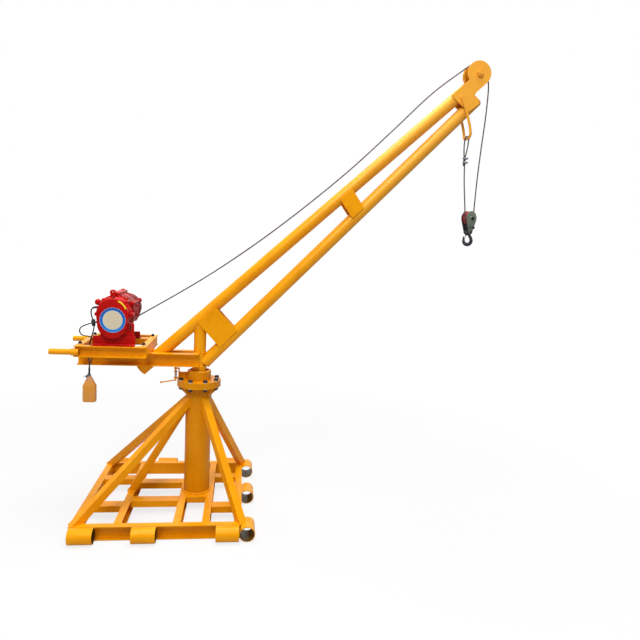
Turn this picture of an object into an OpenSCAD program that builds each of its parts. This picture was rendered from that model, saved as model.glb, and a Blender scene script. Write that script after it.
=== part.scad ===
// Portable mini crane: a welded channel base with pipe sleeves for legs or casters,
// a braced post, a slewing jib of two tubes, an electric rope winch on its counter arm
// and a two-fall hook block. Millimetres, +Z up, +X towards the jib head.
// The origin is the slewing axis at floor level.

/* [Base frame] */
// Distance from the slewing axis to the left end of the base
base_left = 655; // [600:5:800]
// Distance from the slewing axis to the right end of the base
base_right = 290; // [250:5:350]
// Depth of the base from front flange tips to back flange tips
base_depth = 1000; // [840:10:1200]
// Height of the base and rail channels
channel_h = 80; // [68:1:96]
// Flange width of the base and rail channels
channel_w = 43; // [36:1:50]
// Web thickness of the channels
channel_web = 5; // [4:0.5:6]
// Mean flange thickness of the channels
channel_flange = 7; // [6:0.5:9]
// Distance of the ballast bay's inner beam from the slewing axis
beam_a_x = 400; // [340:1:460]
// Distance of the left post beam's centre from the slewing axis
beam_b_x = 76; // [60:1:84]
// Distance of the right post beam's centre from the slewing axis
beam_c_x = 87; // [78:1:104]
// Width of the flat cross channels
cross_w = 72; // [60:1:86]
// Depth of the flat cross channels
cross_h = 39; // [30:1:45]
// Half spacing of the cross channels in the ballast bay
cross_left_y = 203; // [170:1:240]
// Half spacing of the cross channels in the middle bay
cross_mid_y = 138; // [115:1:165]
// Half spacing of the cross channels in the right bay
cross_right_y = 228; // [190:1:270]
// Width of the flat channel under the post
seat_w = 240; // [200:5:280]

/* [Pipe sleeves] */
// Outside diameter of the pipe sleeves
sleeve_d = 89; // [84:1:92]
// Wall thickness of the pipe sleeves
sleeve_wall = 4.5; // [3:0.5:6]
// Length of each pipe sleeve
sleeve_l = 130; // [110:2:146]
// Distance of the middle sleeves from the slewing axis
sleeve_mid_x = 245; // [200:1:290]
// Distance of the end row's front sleeve from the middle of the base
end_front_y = 482; // [400:1:490]
// Distance of the end row's middle sleeve behind the middle of the base
end_mid_y = 15; // [0:1:40]
// Distance of the end row's back sleeve from the middle of the base
end_back_y = 445; // [400:1:490]

/* [Post and slewing head] */
// Outside diameter of the post
post_d = 160; // [140:1:180]
// Wall thickness of the post
post_wall = 6; // [5:0.5:8]
// Height of the top of the lower flange
flange_seam_z = 791; // [700:1:900]
// Thickness of the lower flange
flange_t = 22; // [18:1:26]
// Diameter of both flanges
flange_d = 270; // [250:1:310]
// Thickness of the bearing cap's flange
cap_t = 18; // [15:1:22]
// Outside diameter of the bearing collar
collar_d = 146; // [136:1:160]
// Height of the collar above the cap's flange
collar_h = 60; // [50:1:72]
// Pitch circle of the flange bolts
bolt_pcd = 234; // [220:1:244]
// Number of flange bolts
bolt_count = 8; // [6:2:10]
// Thread size of the flange bolts
bolt_d = 18; // [14:1:20]
// Width across the flats of the flange bolts' heads
bolt_hex = 27; // [22:1:30]
// Side of the square tube braces
brace_s = 45; // [38:1:50]
// Wall thickness of the braces
brace_wall = 4; // [3:0.5:5]
// Height where the corner braces meet the post
brace_top_z = 672; // [600:1:690]
// Height where the middle brace meets the post
brace_mid_z = 632; // [540:1:650]

/* [Jib] */
// Outside diameter of the slewing shaft
shaft_d = 89; // [80:1:100]
// Outside diameter of the mast and jib tubes
tube_d = 76; // [66:1:84]
// Wall thickness of the mast and jib tubes
tube_wall = 4; // [3:0.5:6]
// Gap between the collar and the rails
rail_gap = 31; // [26:1:45]
// Length of the rails behind the slewing axis
rail_l = 719; // [700:1:800]
// Distance of the sheave axis in front of the slewing axis
head_x = 1676; // [1500:1:1900]
// Height of the sheave axis
head_z = 2800; // [2600:1:3000]
// Thickness of the jib plates
plate_t = 8; // [6:1:10]
// Radius of the head cheeks
cheek_r = 76; // [72:1:90]
// Rope radius on the head sheave
head_pitch_r = 72; // [62:1:74]
// Diameter of the head pin
head_pin_d = 25; // [20:1:30]

/* [Winch tray] */
// Length of the tray
tray_l = 400; // [370:5:460]
// Depth of the tray
tray_w = 500; // [460:5:580]
// Height of the tray channels
tray_h = 65; // [55:1:78]
// Flange width of the tray channels
tray_flange_w = 36; // [32:1:42]
// Diameter of the push handles
handle_d = 34; // [28:1:38]
// Length of the push handles beyond the tray
handle_l = 133; // [110:1:180]

/* [Winch] */
// Distance of the drum axis behind the slewing axis
winch_x = 483; // [470:1:495]
// Height of the drum axis above the tray
winch_axis_h = 186; // [180:1:200]
// Radius of the winch castings
casting_r = 97; // [92:1:105]
// Rope radius on the drum
drum_pitch_r = 84; // [76:1:86]
// Diameter of the rope
rope_d = 7; // [6:0.5:8]

/* [Hook block] */
// Height of the block sheave's axis
block_z = 1908; // [1700:1:2100]
// Rope radius on the block sheave
block_pitch_r = 42; // [36:1:44]
// Turn of the block about the vertical
block_turn = 27; // [0:1:45]
// Turn of the hook about the vertical
hook_turn = -20; // [-45:1:45]
// Throat radius of the hook
hook_throat_r = 17; // [14:1:20]

/* [Hidden] */

run_gap = 0.05;      // radial clearance of a shaft in its bearing
seat_gap = 0.1;      // clearance between curved parts that are welded together
free_gap = 5;        // clearance of the moving pieces
yellow = [0.93, 0.62, 0.08];
dark_steel = [0.10, 0.10, 0.11];
winch_red = [0.75, 0.05, 0.05];
rope_grey = [0.42, 0.36, 0.36];
zinc = [0.75, 0.76, 0.78];
facets = 96;

front_web_y = -base_depth / 2 + channel_w;
inner_l = base_depth - 2 * channel_w;
sleeve_r = sleeve_d / 2;
flange_tip = channel_flange * 0.75;
flange_root = channel_flange * 1.25;
sleeve_out = sqrt(pow(sleeve_r, 2) - pow(channel_h - flange_tip - sleeve_r, 2)) + 0.2;
front_sleeve_y = -base_depth / 2 - sleeve_out;
right_sleeve_x = base_right + sleeve_out;

post_r = post_d / 2;
flange_z = flange_seam_z - flange_t;
cap_top_z = flange_seam_z + cap_t;
collar_top_z = cap_top_z + collar_h;
cavity_r = shaft_d / 2 + 13;
thrust_z = flange_seam_z + cap_t + 4;
lower_bearing_z = flange_z - 300;
shaft_r = shaft_d / 2;
tube_r = tube_d / 2;
rail_z = collar_top_z + rail_gap;
rail_top_z = rail_z + channel_h;
tray_z = rail_top_z;
tray_top_z = tray_z + tray_h;
rail_out = 27;       // how far the rails stand out beyond the tray
tray_left_x = -rail_l + rail_out;
tray_right_x = tray_left_x + tray_l;

// The two jib tubes, as lines from foot to head
upper_foot = [-357, rail_z - 39];
upper_head = [head_x - 76, head_z - 105];
lower_foot = [29, rail_z + 15];
lower_head = [head_x + 17, head_z - 128];
plate_y = tube_r + seat_gap;
plate_lap = 3;       // how far a plate's edge stays off the centre line of a jib tube

tray_web_y = tray_w / 2 - tray_flange_w;
bearer_w = 60;
front_foot_h = 56;   // heights of the winch's two feet
rear_foot_h = 44;
foot_t = 6;
front_foot_y = -200; // back of the front foot's upright leg
rear_foot_y = 98;    // middle of the rear foot
winch_shaft_r = 15;
drum_front_y = -135;
drum_back_y = 80;
drum_flange_r = casting_r + 1;
tie_r = drum_flange_r + free_gap + 8;
tie_angles = [30, 150, 225, 315];
ring_r = tie_r - 7;
lug_w = 44;          // width of the top lugs and of the bar between them
lug_h = 15;

drum_x = -winch_x;
drum_z = tray_top_z + winch_axis_h;

block_x = head_x + 22;
fall_dx = block_pitch_r * cos(block_turn);
fall_dy = block_pitch_r * sin(block_turn);
anchor_low = [head_x - 33, head_z - 401];

// ---------- general shapes ----------

// Cross-section of a rolled channel, web along Y, flanges towards +X, with sloped flanges
module channel_section(h, w, web, tip, root) {
    polygon([[0, 0], [w, 0], [w, tip], [web, root], [web, h - root], [w, h - tip], [w, h], [0, h]]);
}

// A channel along +X whose web's back lies on y = 0, with the flanges towards side * Y
module channel_x(l, side, h = channel_h, w = channel_w) {
    scale([1, side, 1]) rotate([90, 0, 90]) linear_extrude(l)
        channel_section(h, w, channel_web, flange_tip, flange_root);
}

// A channel along +Y whose web's back lies on x = 0, with the flanges towards side * X
module channel_y(l, side, h = channel_h, w = channel_w) {
    scale([side, 1, 1]) translate([0, l, 0]) rotate([90, 0, 0]) linear_extrude(l)
        channel_section(h, w, channel_web, flange_tip, flange_root);
}

// A channel laid flat along +X, web up, its top on z = 0
module flat_channel_x(l, w, h) {
    translate([0, -w / 2, 0]) rotate([90, 0, 90]) linear_extrude(l)
        rotate(-90) channel_section(w, h, channel_web, flange_tip, flange_root);
}

module tube_z(r_out, r_in, l) {
    difference() {
        cylinder(r = r_out, h = l, $fn = facets);
        translate([0, 0, -1]) cylinder(r = r_in, h = l + 2, $fn = facets);
    }
}

// Puts children, drawn along +Z, along the line from a towards b
module along(a, b) {
    v = b - a;
    translate(a) rotate([0, 90 - atan2(v[2], norm([v[0], v[1]])), atan2(v[1], v[0])]) children();
}

function at(p, y) = [p[0], y, p[1]];
function unit(v) = v / norm(v);

// A smooth curve through points, n steps between each pair
function spline(p, n) = [for (i = [0 : len(p) - 2]) for (k = [0 : n - 1])
    let (t = k / n,
         a = p[max(i - 1, 0)], b = p[i], c = p[i + 1], d = p[min(i + 2, len(p) - 1)])
    0.5 * (2 * b + (c - a) * t + (2 * a - 5 * b + 4 * c - d) * t * t + (3 * b - a - 3 * c + d) * t * t * t),
    p[len(p) - 1]];

// A round tube swept along points, as one closed polyhedron
module swept(p, r, sides) {
    n = len(p);
    dirs = [for (i = [0 : n - 1]) unit(p[min(i + 1, n - 1)] - p[max(i - 1, 0)])];
    side_of = function(d) unit(cross(d, abs(d[1]) < 0.9 ? [0, 1, 0] : [1, 0, 0]));
    rings = [for (i = [0 : n - 1]) let (s = side_of(dirs[i]), u = cross(dirs[i], s))
        for (k = [0 : sides - 1]) p[i] + r * (cos(360 * k / sides) * s + sin(360 * k / sides) * u)];
    walls = [for (i = [0 : n - 2]) for (k = [0 : sides - 1])
        [i * sides + k, (i + 1) * sides + k, (i + 1) * sides + (k + 1) % sides, i * sides + (k + 1) % sides]];
    polyhedron(rings, concat([[for (k = [0 : sides - 1]) k]], walls,
        [[for (k = [sides - 1 : -1 : 0]) (n - 1) * sides + k]]), convexity = 8);
}

// ---------- base frame ----------

// The right ends of the front and back beams are coped round the side sleeves
module base_side_beam(side) {
    color(yellow) difference() {
        translate([-base_left, -side * front_web_y, 0]) channel_x(base_left + base_right, side);
        translate([right_sleeve_x, base_depth / 2 + 50, sleeve_r]) rotate([90, 0, 0])
            cylinder(r = sleeve_r + seat_gap, h = base_depth + 100, $fn = facets);
    }
}

module base_front_beam() { base_side_beam(-1); }
module base_back_beam() { base_side_beam(1); }

module base_left_beam() {
    color(yellow) translate([-base_left + channel_w, front_web_y, 0]) channel_y(inner_l, -1);
}

module base_right_beam() {
    color(yellow) translate([base_right - channel_w, front_web_y, 0]) channel_y(inner_l, 1);
}

module base_long_beams() {
    color(yellow)
    for (x = [-beam_a_x, -beam_b_x, beam_c_x])
        translate([x - channel_w / 2, front_web_y, 0]) channel_y(inner_l, 1);
}

module base_cross_members() {
    half = channel_w / 2;
    // each bay: left end, right end, half spacing of its two channels
    bays = [[-base_left + channel_w, -beam_a_x - half, cross_left_y],
            [-beam_a_x + half, -beam_b_x - half, cross_mid_y],
            [beam_c_x + half, base_right - channel_w, cross_right_y]];
    color(yellow) {
        for (bay = bays) for (side = [-1, 1])
            translate([bay[0], side * bay[2], channel_h]) flat_channel_x(bay[1] - bay[0], cross_w, cross_h);
        translate([-beam_b_x + half, 0, channel_h])
            flat_channel_x(beam_c_x + beam_b_x - channel_w, seat_w, cross_h);
    }
}

module sleeve_x(x) {
    translate([x, 0, sleeve_r]) rotate([0, 90, 0]) tube_z(sleeve_r, sleeve_r - sleeve_wall, sleeve_l);
}

// The left sleeves start inside the base's end, and the right ones leave the end row's pipes a free way
module sleeve_row() {
    inset = 13;
    last = right_sleeve_x - sleeve_r - 0.5 - sleeve_l;
    for (x = [-base_left + inset, -sleeve_mid_x - sleeve_l / 2, last]) sleeve_x(x);
}

module front_sleeves() {
    color(yellow) translate([0, front_sleeve_y, 0]) sleeve_row();
}

module back_sleeves() {
    color(yellow) translate([0, -front_sleeve_y, 0]) sleeve_row();
}

module side_sleeves() {
    color(yellow)
    for (y = [-end_front_y, end_mid_y, end_back_y])
        translate([right_sleeve_x, y + sleeve_l / 2, sleeve_r]) rotate([90, 0, 0])
            tube_z(sleeve_r, sleeve_r - sleeve_wall, sleeve_l);
}

// ---------- post ----------

module post() {
    bead = 9;
    color(yellow) {
        difference() {
            union() {
                translate([0, 0, channel_h]) cylinder(r = post_r, h = flange_z - channel_h, $fn = facets);
                translate([0, 0, channel_h])
                    cylinder(r1 = post_r + bead, r2 = post_r, h = bead, $fn = facets);
            }
            translate([0, 0, channel_h - 1])
                cylinder(r = post_r - post_wall, h = flange_z - channel_h + 2, $fn = facets);
        }
        translate([0, 0, lower_bearing_z]) tube_z(post_r - post_wall + seat_gap, shaft_r + run_gap, 20);
    }
}

gusset_drop = 58;    // height of the gussets under the flange

module flange_gusset() {
    reach = flange_d / 2 - 18;
    rotate([90, 0, 0]) translate([0, 0, -plate_t / 2]) linear_extrude(plate_t)
        polygon([[post_r - 1, flange_z], [reach, flange_z], [reach - 7, flange_z - gusset_drop / 2],
            [post_r - 1, flange_z - gusset_drop]]);
}

module bolt_circle() {
    for (i = [0 : bolt_count - 1])
        rotate((i + 0.5) * 360 / bolt_count) translate([bolt_pcd / 2, 0, 0]) children();
}

module post_flange() {
    color(yellow) {
        difference() {
            translate([0, 0, flange_z]) cylinder(d = flange_d, h = flange_t, $fn = facets);
            translate([0, 0, flange_z - 1]) cylinder(r = shaft_r + 13, h = flange_t + 2, $fn = facets);
            translate([0, 0, flange_z - 1]) bolt_circle()
                cylinder(d = bolt_d + 1, h = flange_t + 2, $fn = 32);
        }
        difference() {
            for (i = [0 : bolt_count - 1]) rotate(i * 360 / bolt_count) flange_gusset();
            translate([0, 0, flange_z - gusset_drop - 1])
                cylinder(r = post_r + seat_gap, h = gusset_drop + 2, $fn = facets);
        }
    }
}

// A square tube brace that leaves the post at height z towards a point of the base
module brace(foot, z) {
    dir = unit([foot[0], foot[1]]);
    head = [dir[0] * post_r, dir[1] * post_r, z];
    slope = unit([foot[0], foot[1], channel_h] - head);
    start = head - slope * 120;
    l = norm([foot[0], foot[1], channel_h] - head) + 240;
    color(yellow) difference() {
        along(start, head) translate([0, 0, l / 2]) difference() {
            cube([brace_s, brace_s, l], center = true);
            cube([brace_s - 2 * brace_wall, brace_s - 2 * brace_wall, l + 2], center = true);
        }
        cylinder(r = post_r + seat_gap, h = flange_seam_z + 100, $fn = facets);
        translate([-1500, -1500, channel_h - 1000]) cube([3000, 3000, 1000]);
        if (foot[0] > 0) translate([right_sleeve_x, base_depth, sleeve_r]) rotate([90, 0, 0])
            cylinder(r = sleeve_r + seat_gap, h = 2 * base_depth, $fn = facets);
    }
}

corner_in = 40;      // how far the corner braces' feet stay inside the flange tips
left_in = 34;        // how far the left feet stay inside the base's end
right_in = 5;        // how far the right feet stay inside it, beside the end row's sleeves
module brace_front_left() { brace([-base_left + left_in, -base_depth / 2 + corner_in], brace_top_z); }
module brace_back_left() { brace([-base_left + left_in, base_depth / 2 - corner_in], brace_top_z); }
module brace_front_right() { brace([base_right - right_in, -base_depth / 2 + corner_in], brace_top_z); }
module brace_back_right() { brace([base_right - right_in, base_depth / 2 - corner_in], brace_top_z); }
module brace_middle() { brace([-beam_a_x, 0], brace_mid_z); }

// ---------- slewing head ----------

module bearing_cap() {
    color(yellow) difference() {
        union() {
            translate([0, 0, flange_seam_z]) cylinder(d = flange_d, h = cap_t, $fn = facets);
            translate([0, 0, cap_top_z]) cylinder(d = collar_d, h = collar_h - 5, $fn = facets);
            translate([0, 0, collar_top_z - 5])
                cylinder(d1 = collar_d, d2 = collar_d - 10, h = 5, $fn = facets);
        }
        translate([0, 0, flange_seam_z - 1]) cylinder(r = shaft_r + run_gap, h = cap_t + 20, $fn = facets);
        translate([0, 0, thrust_z]) cylinder(r = cavity_r, h = collar_h, $fn = facets);
        translate([0, 0, flange_seam_z - 1]) bolt_circle() cylinder(d = bolt_d + 1, h = cap_t + 2, $fn = 32);
    }
}

module hex_prism(across, h) {
    cylinder(d = across / cos(30), h = h, $fn = 6);
}

module flange_bolts() {
    head_h = 14;
    nut_h = 15;
    end = 4;         // how far the thread stands out of the nut
    color(dark_steel) bolt_circle() {
        translate([0, 0, cap_top_z]) hex_prism(bolt_hex, head_h);
        translate([0, 0, flange_z - nut_h - end])
            cylinder(d = bolt_d, h = cap_top_z - flange_z + nut_h + end, $fn = 32);
        translate([0, 0, flange_z - nut_h]) hex_prism(bolt_hex, nut_h);
    }
}

lock_x = -146;
lock_rod_d = 10;
lock_low_z = cap_top_z + 2;
lock_high_z = collar_top_z + 3;
lock_arm_t = 6;
lock_washer_z = collar_top_z - 15;

module lock_bracket() {
    web_x = lock_x + 24;
    color(yellow) difference() {
        union() {
            translate([web_x, -4, cap_top_z]) cube([-web_x - collar_d / 2 + 6, 8, 44]);
            translate([web_x - 6, -14, lock_low_z]) cube([6, 28, lock_high_z + lock_arm_t - lock_low_z]);
            for (z = [lock_low_z, lock_high_z])
                hull() {
                    translate([lock_x, 0, z]) cylinder(d = 24, h = lock_arm_t, $fn = 32);
                    translate([web_x - 3, -14, z]) cube([3, 28, lock_arm_t]);
                }
        }
        translate([0, 0, cap_top_z - 1]) cylinder(d = collar_d + 2 * seat_gap, h = collar_h, $fn = facets);
        translate([lock_x, 0, lock_low_z - 1])
            cylinder(d = lock_rod_d + 2 * run_gap, h = lock_high_z + lock_arm_t - lock_low_z + 2, $fn = 48);
    }
}

module lock_pin() {
    foot_z = lock_low_z - 12;
    top_z = rail_z - free_gap - 1;
    end = [lock_x - 88, 0, foot_z - 16];
    color(yellow) {
        translate([lock_x, 0, foot_z]) cylinder(d = lock_rod_d, h = top_z - foot_z, $fn = 48);
        translate([lock_x, 0, foot_z]) sphere(d = lock_rod_d + 2, $fn = 32);
        along([lock_x, 0, foot_z], end) cylinder(d = 8, h = norm(end - [lock_x, 0, foot_z]), $fn = 32);
        translate(end) sphere(d = 14, $fn = 32);
    }
    color(zinc) translate([lock_x, 0, lock_washer_z]) tube_z(13, lock_rod_d / 2 - 0.5, 3);
}

module lock_spring() {
    low = lock_low_z + lock_arm_t + 0.3;
    high = lock_washer_z - 0.3;
    turns = 5;
    steps = 12;
    color(zinc) swept([for (i = [0 : turns * steps]) let (t = i / (turns * steps))
        [lock_x + 8 * cos(360 * turns * t), 8 * sin(360 * turns * t), low + 1 + (high - low - 2) * t]], 1, 6);
}

// ---------- jib ----------

module slewing_shaft() {
    color(yellow) {
        translate([0, 0, lower_bearing_z - 10]) tube_z(shaft_r, shaft_r - 8, rail_z - lower_bearing_z + 9);
        translate([0, 0, rail_z - 12]) cylinder(r = shaft_r - 1, h = 11, $fn = facets);
        translate([0, 0, thrust_z + 0.3]) tube_z(cavity_r - 3, shaft_r - 1, 14);
    }
}

// The outside of a jib tube, drawn solid
module jib_tube_body(foot, head, r) {
    along(at(foot, 0), at(head, 0)) cylinder(r = r, h = norm(head - foot), $fn = facets);
}

module jib_tube(foot, head) {
    along(at(foot, 0), at(head, 0)) tube_z(tube_r, tube_r - tube_wall, norm(head - foot));
}

module mast_tube() {
    top_z = upper_foot[1] - upper_foot[0] * (upper_head[1] - upper_foot[1]) / (upper_head[0] - upper_foot[0]);
    color(yellow) difference() {
        translate([0, 0, rail_z - 1]) tube_z(tube_r, tube_r - tube_wall, top_z - rail_z + 1);
        jib_tube_body(upper_foot, upper_head, tube_r + seat_gap);
    }
}

module rail_front() {
    color(yellow) translate([-rail_l, -tube_r - seat_gap, rail_z]) channel_x(rail_l, -1);
}

module rail_back() {
    color(yellow) translate([-rail_l, tube_r + seat_gap, rail_z]) channel_x(rail_l, 1);
}

module upper_jib_tube() {
    v = unit(upper_head - upper_foot);
    color(yellow) {
        jib_tube(upper_foot, upper_head);
        along(at(upper_foot, 0), at(upper_head, 0)) cylinder(r = tube_r - 0.5, h = 5, $fn = facets);
        along(at(upper_head - 5 * v, 0), at(upper_head, 0)) cylinder(r = tube_r - 0.5, h = 5, $fn = facets);
    }
}

module lower_jib_tube() {
    v = unit(lower_head - lower_foot);
    color(yellow) {
        difference() {
            jib_tube(lower_foot - 20 * v, lower_head);
            translate([0, 0, rail_z - 100]) cylinder(r = tube_r + seat_gap, h = 400, $fn = facets);
            translate([-shaft_r, -shaft_r, rail_z - 100]) cube([shaft_r * 2, shaft_r * 2, 100 - 0.9]);
        }
        along(at(lower_head - 5 * v, 0), at(lower_head, 0)) cylinder(r = tube_r - 0.5, h = 5, $fn = facets);
    }
}

// A pair of plates on the front and back of the jib, from an outline in x and z
module plate_pair(t = plate_t) {
    for (side = [-1, 1])
        translate([0, side < 0 ? -plate_y : plate_y + t, 0]) rotate([90, 0, 0]) linear_extrude(t) children();
}

// A point beside a jib line: along it from the foot, and across it to the upper left
function beside(foot, head, s, across) =
    let (v = unit(head - foot)) foot + s * v + across * [-v[1], v[0]];

module foot_gussets() {
    color(yellow) plate_pair() polygon([
        beside(upper_foot, upper_head, 463, -plate_lap), beside(upper_foot, upper_head, 611, -plate_lap),
        beside(lower_foot, lower_head, 293, plate_lap), beside(lower_foot, lower_head, 142, plate_lap)]);
}

module mid_plates() {
    round = 8;
    color(yellow) plate_pair() offset(r = round) offset(delta = -round) polygon([
        beside(upper_foot, upper_head, 1632, -plate_lap), beside(upper_foot, upper_head, 1732, -plate_lap),
        beside(lower_foot, lower_head, 1400, plate_lap), beside(lower_foot, lower_head, 1300, plate_lap)]);
}

// The head plate's outline: a body on both tubes and an arm to the round cheek
module head_outline() {
    slope = 44;
    translate([head_x, head_z]) rotate(slope) {
        polygon([[-228, 12], [-203, -136], [-113, -142], [-113, -86],
            [-92, -cheek_r], [0, -cheek_r], [0, 12]]);
        circle(r = cheek_r, $fn = facets);
    }
}

module head_plates() {
    color(yellow) difference() {
        plate_pair() head_outline();
        translate([head_x, 200, head_z]) rotate([90, 0, 0]) cylinder(d = head_pin_d + 0.2, h = 400, $fn = 64);
    }
}

module head_pin() {
    over = plate_y + plate_t;
    color(yellow) translate([head_x, 0, head_z]) rotate([90, 0, 0]) {
        translate([0, 0, -over - 20]) cylinder(d = head_pin_d, h = 2 * over + 40, $fn = 64);
        translate([0, 0, over]) hex_prism(38, 16);
        translate([0, 0, -over - 16]) hex_prism(38, 16);
        for (side = [-1, 1]) translate([0, 0, side * 25 - 10]) tube_z(19, head_pin_d / 2 - 0.5, 20);
    }
}

anchor_bar_r = 8.5;

module anchor_bar() {
    y = plate_y + plate_t + anchor_bar_r;
    corner_r = 28;
    top = [head_x - 105, head_z - 155];
    low = [anchor_low[0], anchor_low[1] + anchor_bar_r + corner_r];
    leg = [top, top + [42, -120], top + [67, -170]];
    half = concat([for (p = leg) [p[0], y, p[1]]],
        [for (a = [0 : 15 : 90]) [low[0], y - corner_r * (1 - cos(a)), low[1] - corner_r * sin(a)]]);
    front_half = [for (p = half) [p[0], -p[1], p[2]]];
    color(yellow) swept(concat(front_half, [for (i = [len(half) - 1 : -1 : 0]) half[i]]), anchor_bar_r, 12);
}

// ---------- winch tray ----------

module tray_frame() {
    color(yellow) translate([tray_left_x, 0, tray_z]) {
        for (side = [-1, 1])
            translate([0, side * tray_web_y, 0]) channel_x(tray_l, side, tray_h, tray_flange_w);
        for (x = [tray_flange_w, tray_l])
            translate([x, -tray_web_y, 0]) channel_y(2 * tray_web_y, -1, tray_h, tray_flange_w);
    }
}

module tray_bearer() {
    color(yellow) translate([tray_left_x + tray_flange_w, rear_foot_y, tray_top_z])
        flat_channel_x(tray_l - 2 * tray_flange_w, bearer_w, cross_h);
}

module tray_bolts() {
    color(dark_steel)
    for (x = [tray_left_x + 18, tray_right_x - 22]) for (side = [-1, 1])
        translate([x, side * (tray_web_y - 40), tray_top_z]) {
            hex_prism(19, 9);
            cylinder(d = 12, h = 16, $fn = 32);
        }
}

module push_handles() {
    socket_d = handle_d + 8;
    y = tray_web_y + channel_web + socket_d / 2 + 0.2;
    z = tray_z + channel_flange + socket_d / 2;
    color(yellow)
    for (side = [-1, 1]) translate([tray_left_x, side * y, z]) rotate([0, 90, 0]) {
        translate([0, 0, -handle_l]) tube_z(handle_d / 2, handle_d / 2 - 3, handle_l + 20);
        translate([0, 0, -12]) tube_z(socket_d / 2, handle_d / 2 - 0.5, 40);
    }
}

// ---------- winch ----------

// An angle foot along X: a lip on the tray and an upright leg, lip towards side * Y
module winch_foot(l, lip, h, side) {
    rotate([90, 0, 90]) scale([side, 1, 1]) linear_extrude(l)
        polygon([[0, 0], [lip, 0], [lip, foot_t], [foot_t, foot_t], [foot_t, h], [0, h]]);
}

module winch_base() {
    l = 238;
    color(winch_red) translate([drum_x - l / 2 + 6, 0, tray_top_z]) {
        translate([0, front_foot_y, 0]) winch_foot(l, 42, front_foot_h, -1);
        translate([0, rear_foot_y - 22, 0]) winch_foot(l - 20, 44, rear_foot_h, 1);
    }
}

// Round housing between y0 and y1 about the drum axis
module on_axis(y0, y1) {
    translate([drum_x, y1, drum_z]) rotate([90, 0, 0]) linear_extrude(y1 - y0) children();
}

// The leg of a casting, in its own plane, down to the foot
module casting_leg() {
    low = -(drum_z - tray_top_z - foot_t);
    polygon([[-casting_r + 4, -30], [-98, -70], [-98, low], [105, low], [105, -55], [casting_r - 9, -45]]);
}

// The ring that closes a casting towards the drum, with lugs for the tie rods and the top bar
module casting_ring() {
    circle(r = ring_r, $fn = facets);
    for (a = tie_angles) translate([tie_r * cos(a), tie_r * sin(a)]) circle(r = 14, $fn = 48);
    translate([-lug_w / 2, ring_r - lug_h]) square([lug_w, 2 * lug_h]);
}

lift_eye = [-8, 122];        // the lifting eye over the front casting, from the drum's axis
ball_lug = [-93, 60];

module winch_housing() {
    back = drum_front_y - free_gap;
    cover_y = front_foot_y - foot_t - 0.4;
    color(winch_red) {
        difference() {
            union() {
                on_axis(front_foot_y, back) circle(r = casting_r, $fn = facets);
                on_axis(cover_y, front_foot_y) circle(r = casting_r - 13, $fn = facets);
                on_axis(cover_y - 29, cover_y) hull() {
                    circle(r = casting_r - 9, $fn = facets);
                    translate([0, -59]) circle(r = casting_r - 14, $fn = facets);
                }
                on_axis(back - 12, back) casting_ring();
                on_axis(front_foot_y, front_foot_y + 14) casting_leg();
                on_axis(-190, -158) {
                    translate(lift_eye) circle(r = 16, $fn = 48);
                    translate([lift_eye[0] - 14, casting_r - 12]) square([28, lift_eye[1] - casting_r + 12]);
                }
            }
            on_axis(back - 40, back + 1) circle(r = winch_shaft_r + run_gap, $fn = facets);
            on_axis(-191, -157) translate(lift_eye) circle(d = 12, $fn = 32);
        }
        on_axis(-180, -150) translate(ball_lug) circle(r = 17, $fn = 48);
    }
}

module winch_motor() {
    front = drum_back_y + free_gap;
    span = front - drum_front_y + free_gap;
    color(winch_red) {
        difference() {
            union() {
                on_axis(front + 15, 240) circle(r = casting_r - 9, $fn = facets);
                on_axis(front, front + 16) casting_ring();
                on_axis(front, front + 16) translate([-4, ring_r + 6]) circle(r = 15, $fn = 48);
                on_axis(front, front + 10) casting_leg();
            }
            on_axis(front - 1, front + 40) circle(r = winch_shaft_r + run_gap, $fn = facets);
        }
        for (a = tie_angles)
            translate([drum_x + tie_r * cos(a), front + 1, drum_z + tie_r * sin(a)])
                rotate([90, 0, 0]) cylinder(d = 14, h = span + 1, $fn = 32);
        on_axis(front - span, front + 1) translate([-lug_w / 2, ring_r]) square([lug_w, lug_h]);
    }
}

// Cable glands on the left of the winch
gland_high = [drum_x - casting_r - 4, -170, drum_z + 30];
gland_low = [drum_x - casting_r + 6, -170, drum_z - 56];

module cable_glands() {
    color(dark_steel) difference() {
        for (p = [gland_high, gland_low]) translate(p) rotate([0, 90, 0]) cylinder(d = 18, h = 40, $fn = 32);
        on_axis(front_foot_y - 1, drum_front_y) circle(r = casting_r + seat_gap, $fn = facets);
    }
}

module drum() {
    core_r = drum_pitch_r - rope_d / 2 - 0.5;
    lay = rope_d + 0.4;
    wraps = 15;
    barrel_l = drum_back_y - drum_front_y;
    color(dark_steel) translate([drum_x, 0, drum_z]) rotate([90, 0, 0])
    rotate_extrude($fn = facets) difference() {
        union() {
            translate([0, -drum_back_y - free_gap - 30]) square([winch_shaft_r, barrel_l + 2 * free_gap + 60]);
            translate([0, -drum_back_y]) square([core_r, barrel_l]);
            for (y = [-drum_back_y, -drum_front_y - 8]) translate([0, y]) square([drum_flange_r, 8]);
            for (i = [1 : wraps]) translate([drum_pitch_r, i * lay]) circle(d = rope_d + 0.5, $fn = 16);
            translate([core_r - 1, lay / 2 + 1]) square([drum_pitch_r - core_r, wraps * lay]);
        }
        // the barrel is a shell between its ends
        translate([winch_shaft_r + 4, -drum_back_y + 12]) square([core_r - winch_shaft_r - 12, barrel_l - 24]);
    }
}

// ---------- ropes ----------

rope_points = [[drum_x + drum_pitch_r * sin(33), 0, drum_z - drum_pitch_r * cos(33)],
    [-35, 0, 1414], [260, 0, 1624], [556, 0, 1861], [877, 0, 2145], [1149, 0, 2415], [1396, 0, 2667],
    [head_x - 47, 0, head_z + 56]];

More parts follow.
